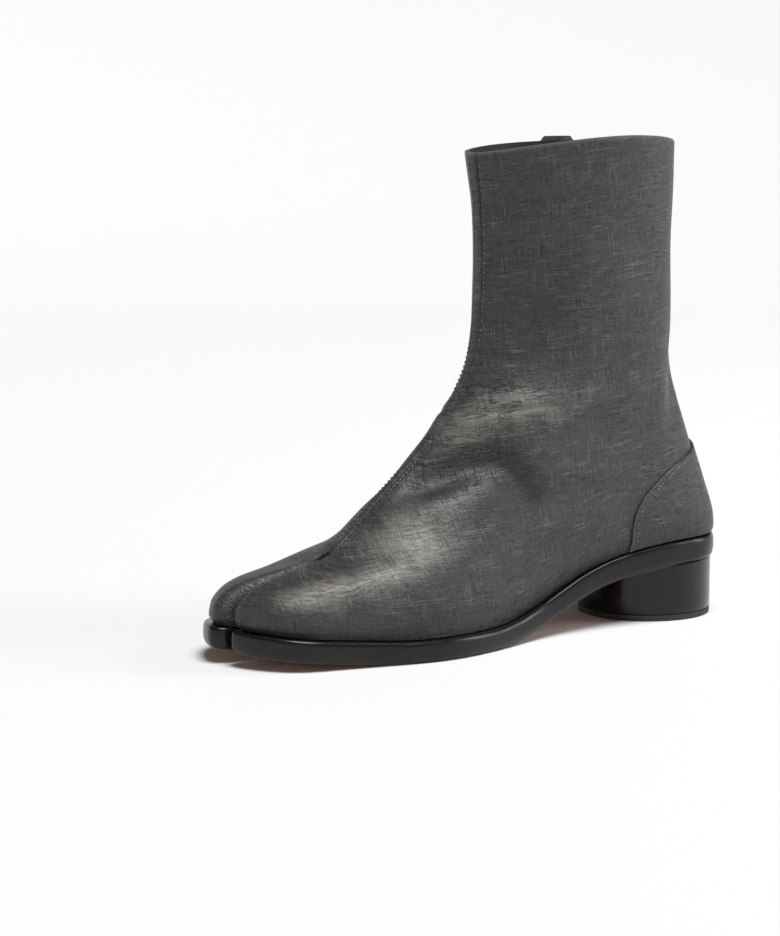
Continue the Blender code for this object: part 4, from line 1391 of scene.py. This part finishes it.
@dataclass
class Sole:
    """Welt, midsole and outsole as one burnished black edge over a tan leather underside.

    Attributes:
        edge: rows of distance outside the welt's line and share of the way down.
        mouth: how much of that distance the cleft widens by, and the most it may.
        under: rows of the underside: offset, extra half gap and share of the way down.
    """

    last: Last
    outline: SoleOutline
    edge: tuple[tuple[float, float], ...] = (
        (-5.0, 0.02), (-0.2, 0.02), (0.35, 0.035), (0.85, 0.08), (1.2, 0.16), (1.42, 0.27),
        (1.5, 0.42), (1.48, 0.58), (1.35, 0.72), (1.05, 0.84), (0.6, 0.92), (0.1, 0.965), (-0.5, 0.98),
        (-4.0, 0.98),
    )
    mouth: tuple[float, float] = (0.55, 3.0)
    under: tuple[tuple[float, float, float], ...] = (
        (-0.6, 0.7, 0.985), (-0.6, 0.7, 0.995), (-0.85, 1.0, 1.0),
    )

    def height(self, share_down: float) -> Callable[[Array], Array]:
        """Height at a share of the way down the sole, as a function of x."""
        def at(x: Array) -> Array:
            """Height of this level at x."""
            top = self.last.sole_top(x)
            return top + (self.last.sole_bottom(x) - top) * share_down
        return at

    def build(self, edge: bpy.types.Material, tan: bpy.types.Material) -> None:
        """Make the black edge and the tan underside.

        Args:
            edge: material of the edge.
            tan: material of the underside.
        """
        widest = max(out for out, _ in self.edge)
        share, most = self.mouth
        gap = self.outline.half_gap
        band = self.outline.solid("sole_edge", [
            (out, gap + min((widest - out) * share, most), self.height(down)) for out, down in self.edge
        ], edge)
        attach(band, "root")
        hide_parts("welt", "midsole")
        under = self.outline.solid("tan_underside", [
            (out, gap + extra, self.height(down)) for out, extra, down in self.under
        ], tan)
        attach(under, "root")
        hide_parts("outsole")


@dataclass
class Insole:
    """Sock and insole board inside the boot, with a rolled upper edge.

    Attributes:
        inset: distance inside the feather line.
        half_gap: half the width that it leaves to the cleft, less the inset.
        thick: thickness of sock and board.
        roll: rows of further inset, further half gap and depth under the top.
    """

    last: Last
    outline: SoleOutline
    inset: float = 2.75
    half_gap: float = 1.6
    thick: float = 2.6
    roll: tuple[tuple[float, float, float], ...] = (
        (0.0, 0.0, 2.6), (0.0, 0.0, 0.6), (0.25, 0.25, 0.15), (1.0, 0.9, 0.0),
    )

    def level(self, rise: float) -> Callable[[Array], Array]:
        """Height of a level over the welt, as a function of x."""
        return lambda x: self.last.sole_top(x) + self.last.t.seat_gap + rise

    def build(self, material: bpy.types.Material) -> None:
        """Make the insole from a material."""
        gap = self.half_gap + self.inset
        piece = self.outline.solid("insole_sock", [
            (-self.inset - further, gap + wider, self.level(self.thick - depth))
            for further, wider, depth in self.roll
        ], material, corner_share=1.0, welted=False)
        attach(piece, "root")
        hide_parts("insole")


@dataclass
class Heel:
    """Round heel block, its top bent to the sole, and the thin rubber top lift.

    Attributes:
        block: rows of inset from the radius and height over the block's foot.
        top_drops: how far the block's last two rows lie under the sole.
        pad: rows of inset from the radius and height over the floor.
    """

    last: Last
    radius: float = 33.5
    lift: float = 3.0
    segments: int = 144
    block: tuple[tuple[float, float], ...] = ((0.5, 0.0), (0.15, 0.15), (0.0, 0.5), (0.0, 8.0))
    top_drops: tuple[float, float] = (6.0, 0.3)
    pad: tuple[tuple[float, float], ...] = (
        (0.9, 0.0), (0.35, 0.2), (0.15, 0.7), (0.1, 2.85), (0.3, 3.0),
    )

    def turned(self, name: str, rows: Sequence[tuple[float, float | None, float]],
               material: bpy.types.Material) -> bpy.types.Object:
        """Body turned about the heel's middle: x = r cos a, y = r sin a.

        Args:
            name: the piece's name.
            rows: radius, height and drop of each ring; a height of None follows the sole.
            material: the piece's material.

        Returns:
            The piece.
        """
        angles = np.linspace(0, 2 * math.pi, self.segments, endpoint=False)
        rings = []
        for radius, height, drop in rows:
            x, y = radius * np.cos(angles), radius * np.sin(angles)
            z = self.last.sole_bottom(x) - drop if height is None else np.full(x.shape, height)
            rings.append(np.stack([x, y, z], axis=-1))
        points = np.concatenate(rings)
        index = np.arange(len(points)).reshape(len(rings), -1)
        faces = grid_faces(np.concatenate([index, index[:, :1]], axis=1)).tolist()
        half = self.segments // 2
        for row, flip in ((index[0].tolist(), True), (index[-1].tolist(), False)):
            cap = [[row[0], row[1], row[-1]]]
            cap += [[row[k], row[k + 1], row[-k - 1], row[-k]] for k in range(1, half - 1)]
            cap.append([row[half - 1], row[half], row[-half + 1]])
            faces += [face[::-1] for face in cap] if flip else cap
        return make_piece(name, points, faces, [material], sharp_degrees=30)

    def build(self, lacquer: bpy.types.Material, rubber: bpy.types.Material) -> None:
        """Make the block and the top lift.

        Args:
            lacquer: material of the block.
            rubber: material of the top lift.
        """
        foot = self.lift + self.last.t.seat_gap
        rows = [(self.radius - inset, foot + height, 0.0) for inset, height in self.block]
        rows += [(self.radius, None, drop) for drop in self.top_drops]
        block = self.turned("heel_body", rows, lacquer)
        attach(block, "root")
        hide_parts("heel_block")
        pad = self.turned("heel_pad", [(self.radius - inset, height, 0.0) for inset, height in self.pad],
                          rubber)
        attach(pad, "root")
        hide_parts("heel_top_lift")


@dataclass
class Studio:
    """Pale floor, soft lights and the photograph's camera. Lamps and floor are in metres."""

    camera_mm: tuple[float, float, float] = (840.77, 1001.99, 250.0)
    aim_mm: tuple[float, float, float] = (109.70, -68.16, 73.34)
    lens_px: float = 2595.0
    image: tuple[int, int] = (780, 936)
    sensor_mm: float = 36.0
    clip: tuple[float, float] = (0.05, 50.0)
    disc: float = 0.5
    flat: float = 2.0
    reach: float = 6.0
    rise: float = 0.12
    floor_rings: int = 17
    floor_turns: int = 72
    sun_from: tuple[float, float, float] = (-0.05, 0.55, 1.95)
    sun_strength: float = 3.95
    sun_degrees: float = 32.0
    softbox_at: tuple[float, float, float] = (-1.4, 0.9, 0.8)
    softbox_aim: tuple[float, float, float] = (0.1, 0.0, 0.1)
    softbox_size: tuple[float, float] = (0.5, 1.0)
    softbox_watts: float = 10.5
    sky: str = "#f7f8f9"
    sky_strength: float = 0.07

    @staticmethod
    def put(name: str, data: bpy.types.ID, place: Sequence[float], target: Sequence[float]
            ) -> bpy.types.Object:
        """Put a lamp or a camera in the scene.

        Args:
            name: the object's name.
            data: the lamp or camera.
            place: where it stands.
            target: where it looks.

        Returns:
            The object.
        """
        thing = bpy.data.objects.new(name, data)
        thing.matrix_world = look_at(np.array(place), np.array(target))
        bpy.context.collection.objects.link(thing)
        return thing

    def floor(self) -> None:
        """Pale round floor that curves up far away: z = rise (r - flat)^2 beyond its flat part."""
        radii = np.concatenate([[self.disc], np.linspace(self.flat, self.reach, self.floor_rings)])
        turns = np.linspace(0, 2 * math.pi, self.floor_turns, endpoint=False)
        heights = self.rise * np.maximum(radii - self.flat, 0) ** 2
        ring = np.stack([np.cos(turns), np.sin(turns)], axis=-1)
        points = np.concatenate([np.column_stack([r * ring, np.full(len(ring), z)])
                                 for r, z in zip(radii, heights)])
        index = np.arange(len(points)).reshape(len(radii), -1)
        faces = grid_faces(np.concatenate([index, index[:, :1]], axis=1))[:, ::-1].tolist()
        mesh = bpy.data.meshes.new("floor")
        mesh.from_pydata(points.tolist(), [], [index[0].tolist(), *faces])
        mesh.shade_smooth()
        mesh.materials.append(PaleFloor().build())
        floor = bpy.data.objects.new("floor", mesh)
        bpy.context.collection.objects.link(floor)

    def lights(self) -> None:
        """Make the overhead sun behind a silk, the softbox at the heel's side, and the dim sky."""
        sun = bpy.data.lights.new("overhead_silk", "SUN")
        sun.energy = self.sun_strength
        sun.angle = math.radians(self.sun_degrees)
        self.put("overhead_silk", sun, self.sun_from, (0.0, 0.0, 0.0))
        box = bpy.data.lights.new("heel_side_softbox", "AREA")
        box.shape = "RECTANGLE"
        box.size, box.size_y = self.softbox_size
        box.energy = self.softbox_watts
        self.put("heel_side_softbox", box, self.softbox_at, self.softbox_aim)
        world = bpy.data.worlds.new("studio")
        world.use_nodes = True
        world.node_tree.nodes["Background"].inputs[0].default_value = srgb(self.sky)
        world.node_tree.nodes["Background"].inputs[1].default_value = self.sky_strength
        bpy.context.scene.world = world

    def build(self) -> None:
        """Make the floor, the lights, the world and the camera."""
        self.floor()
        self.lights()
        bpy.context.scene.view_settings.view_transform = "Standard"
        data = bpy.data.cameras.new("camera")
        data.sensor_fit = "AUTO"
        data.sensor_width = self.sensor_mm
        data.lens = self.lens_px / max(self.image) * self.sensor_mm
        data.clip_start, data.clip_end = self.clip
        bpy.context.scene.camera = self.put("camera", data, np.array(self.camera_mm) * MM,
                                            np.array(self.aim_mm) * MM)


def look_at(place: Array, target: Array) -> Matrix:
    """World matrix of an object that looks along its -Z, with +Y up.

    Args:
        place: where it stands.
        target: where it looks.

    Returns:
        The matrix.
    """
    back = unit(place - target)
    right = unit(np.cross([0.0, 0.0, 1.0], back))
    up = np.cross(back, right)
    rows = np.eye(4)
    rows[:3, :3] = np.stack([right, up, back], axis=1)
    rows[:3, 3] = place
    return Matrix(rows.tolist())


@dataclass
class Counter:
    """Heel counter: a leather patch round the back of the boot, with a row of stitches inside it.

    Attributes:
        last: the last with its folds.
        scale_mm: about how far a ring and a radian go near the counter's edge, to space its rows.
        stitch: pitch, length and half thickness of the stitches.
    """

    last: Last
    rows: int = 72
    steps: int = 121
    fine_rows: int = 900
    scale_mm: tuple[float, float] = (6.5, 33.5)
    gap: float = 0.45
    thick: float = 0.95
    stitch_rings: tuple[float, float, int] = (0.35, 7.2, 160)
    stitch_inset: float = 2.3
    stitch_lift: float = 1.45
    stitch: tuple[float, float, float] = (2.1, 1.35, 0.32)
    inside: tuple[float, float] = (3.0, 0.3)
    nudge: float = 0.01

    def grid(self) -> tuple[Array, Array, Array]:
        """Grids of the patch, its rows evenly spaced along its edge.

        Returns:
            Ring numbers, angles, and 1 on the outer side or -1 on the inner side.
        """
        table = self.last.t.counter
        fine = np.linspace(table[0, 0], table[-1, 0], self.fine_rows)
        edge = monotone(fine, table[:, 0], table[:, 1])
        ring_mm, angle_mm = self.scale_mm
        step = np.hypot(np.diff(fine) * ring_mm, np.diff(edge) * angle_mm)
        length = np.concatenate([[0.0], np.cumsum(step)])
        ring = np.interp(np.linspace(0, length[-1], self.rows), length, fine)
        reach = monotone(ring, table[:, 0], table[:, 1])
        across = np.linspace(-1, 1, self.steps)
        angles = reach[:, None] * np.abs(across)[None, :]
        sides = np.broadcast_to(np.where(across >= 0, 1, -1)[None, :], angles.shape)
        return ring[:, None] + 0 * angles, angles, sides

    def inset_line(self, ring: Array, angle: Array, side: Side) -> tuple[Array, Array]:
        """Line moved over the unfolded last, towards the patch's inside.

        The move is solved from the surface's slopes: dP/dring * r + dP/dangle * a = inset * inward.

        Args:
            ring: ring numbers of the line.
            angle: angles of the line.
            side: outer or inner side.

        Returns:
            Ring numbers and angles of the moved line.
        """
        plain = Last(self.last.t)
        line = plain.surface(ring, angle, side)
        by_ring, by_angle = (
            plain.surface(ring + up, angle + turn, side) - plain.surface(ring - up, angle - turn, side)
            for up, turn in ((self.nudge, 0.0), (0.0, self.nudge))
        )
        across = unit(np.cross(plain.normal(ring, angle, side), np.gradient(line, axis=0)))
        towards = plain.surface(*self.inside, side) - line
        inward = across * np.sign((across * towards).sum(-1, keepdims=True))
        slopes = np.stack([by_ring, by_angle], axis=-1) / (2 * self.nudge)
        move = (np.linalg.pinv(slopes) @ (self.stitch_inset * inward)[..., None])[..., 0]
        return ring + move[:, 0], np.maximum(angle + move[:, 1], 0.0)

    def build(self, hide: bpy.types.Material, thread: Stitching) -> None:
        """Make the patch and add its stitches to the sewing.

        Args:
            hide: material of the patch.
            thread: the boot's sewing.
        """
        patch = Overlay(self.last, "counter_patch", "heel_counter", "counter_leather", self.gap, self.thick)
        patch.build(*self.grid(), hide)
        ring = np.linspace(*self.stitch_rings)
        edge = monotone(ring, self.last.t.counter[:, 0], self.last.t.counter[:, 1])
        for side in Side:
            row, angle = self.inset_line(ring, edge, side)
            normal = self.last.normal(row, angle, side)
            line = self.last.skin(row, angle, side, 0.0) + self.stitch_lift * normal
            thread.add(f"counter {side.name}", line, normal, *self.stitch)


@dataclass
class Flap:
    """Closing flap on the inner side, its front bottom corner round, with a tab over the collar.

    Attributes:
        last: the last with its folds.
        front: angle of its front edge.
        back: angle of its back edge.
        corner_start: share of the way to the front where the round corner starts.
        tab: angles between which the tab rises, and the angle over which it does.
        tab_rows: share of the way up where the tab starts to lift the rows.
    """

    last: Last
    front: float = 1.40
    back: float = 0.30
    bottom_ring: float = 9.4
    corner_rings: float = 2.2
    corner_start: float = 0.55
    steps: int = 64
    rows: int = 120
    tab: tuple[float, float, float] = (1.0, 1.30, 0.04)
    tab_rise: float = 2.4
    tab_rows: float = 0.985
    gap: float = 0.45
    thick: float = 1.25
    stitch_in: float = 0.0682
    stitch_rings: tuple[float, float] = (2.4, 0.3)
    stitch_steps: int = 200
    stitch_lift: float = 1.7

    def build(self, hide: bpy.types.Material, thread: Stitching) -> None:
        """Make the flap and add the stitches along its front edge to the sewing.

        Args:
            hide: material of the flap.
            thread: the boot's sewing.
        """
        top = self.last.t.top_ring
        across = np.linspace(0, 1, self.steps)
        angle = self.back + (self.front - self.back) * across
        corner = np.clip((across - self.corner_start) / (1 - self.corner_start), 0, 1)
        bottom = self.bottom_ring + self.corner_rings * (1 - np.sqrt(1 - corner ** 2))
        climb = np.linspace(0, 1, self.rows)[:, None]
        rings = bottom[None, :] + (top - bottom[None, :]) * climb
        angles = np.broadcast_to(angle[None, :], rings.shape)
        start, end, fade = self.tab
        tab = smooth((angle - start) / fade) * (1 - smooth((angle - end) / fade))
        rise = self.tab_rise * tab[None, :] * smooth((climb - self.tab_rows) / (1 - self.tab_rows))
        patch = Overlay(self.last, "flap_leather", "closing_flap", "upper_leather", self.gap, self.thick)
        patch.build(rings, angles, np.full(rings.shape, Side.INNER.value), hide, rise)
        over_bottom, under_top = self.stitch_rings
        ring = np.linspace(self.bottom_ring + over_bottom, top - under_top, self.stitch_steps)
        edge = np.full(ring.shape, self.front - self.stitch_in)
        normal = self.last.normal(ring, edge, Side.INNER)
        line = self.last.skin(ring, edge, Side.INNER, 0.0) + self.stitch_lift * normal
        thread.add("flap edge", line, normal)


@dataclass
class Seams:
    """Stitch rows beside the front seam and along the cleft's rolled edges.

    The front rows follow the last without its folds, which fade out towards the seam.

    Attributes:
        last: the last with its folds.
        front_rings: first ring, last ring and number of points of the front rows.
        front_off: distance of the front rows from the boot's middle line.
        cleft_out: distance of the cleft's rows beyond its rolled edge.
    """

    last: Last
    front_rings: tuple[float, float, int] = (7.95, 16.85, 260)
    front_off: float = 3.9
    front_stitch: tuple[float, float, float] = (2.3, 1.5, 0.3)
    cleft_rings: tuple[float, float, int] = (0.6, 7.4, 120)
    cleft_out: float = 0.3
    cleft_stitch: tuple[float, float, float] = (2.0, 1.3, 0.2)

    def build(self, thread: Stitching) -> None:
        """Add all four rows to the boot's sewing."""
        plain = Last(self.last.t)
        front, low = np.linspace(*self.front_rings), np.linspace(*self.cleft_rings)
        table = self.last.t.cleft
        half_gap = monotone(low, table[:, 0], table[:, 1])
        for side in Side:
            radius = monotone(low, table[:, 0], table[:, 2 if side is Side.OUTER else 3])
            for name, last, ring, off, stitch in (
                ("front seam", plain, front, np.full(front.shape, self.front_off), self.front_stitch),
                ("cleft", self.last, low, half_gap + radius + self.cleft_out, self.cleft_stitch),
            ):
                angle = last.angle_at(ring, side, 0.0, off)
                line = last.skin(ring, angle, side, 0.0)
                thread.add(f"{name} {side.name}", line, last.normal(ring, angle, side), *stitch)


@dataclass
class Boot:
    """The whole boot: builds each sub-assembly in order."""

    last: Last = field(default_factory=Last)

    def build(self) -> None:
        """Make every piece and dress it."""
        folds = Folds(self.last)
        dressed = Last(self.last.t, relief=folds.relief)
        hide = HideLeather().build()
        lining = PlainLeather("black_calf_lining", "#1d1c1b", "#2a2826", grain_mm=0.9).build()
        Upper(dressed, folds).build(hide, lining)
        thread = Stitching(Thread().build())
        Counter(dressed).build(hide, thread)
        Flap(dressed).build(hide, thread)
        Seams(dressed).build(thread)
        thread.build()
        outline = SoleOutline(self.last)
        edge = BurnishedEdge("inked_burnished_edge").build()
        tan = PlainLeather("oak_bark_sole_leather", "#a9714a", "#93603f", grain_mm=0.9, roughness=0.5,
                           bump=0.15).build()
        Sole(self.last, outline).build(edge, tan)
        sock = PlainLeather("calf_sock_leather", "#4a4038", "#3a332d", grain_mm=0.9).build()
        Insole(self.last, outline).build(sock)
        lacquer = BurnishedEdge("lacquered_heel_block", "#080707", "#0d0c0c", roughness=0.24,
                                coat=0.12).build()
        Heel(self.last).build(lacquer, Rubber().build())


def main() -> None:
    """Load the frame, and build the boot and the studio."""
    logging.basicConfig(level=logging.INFO)
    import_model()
    Boot().build()
    Studio().build()
    bpy.context.view_layer.update()


if __name__ == "__main__":
    main()
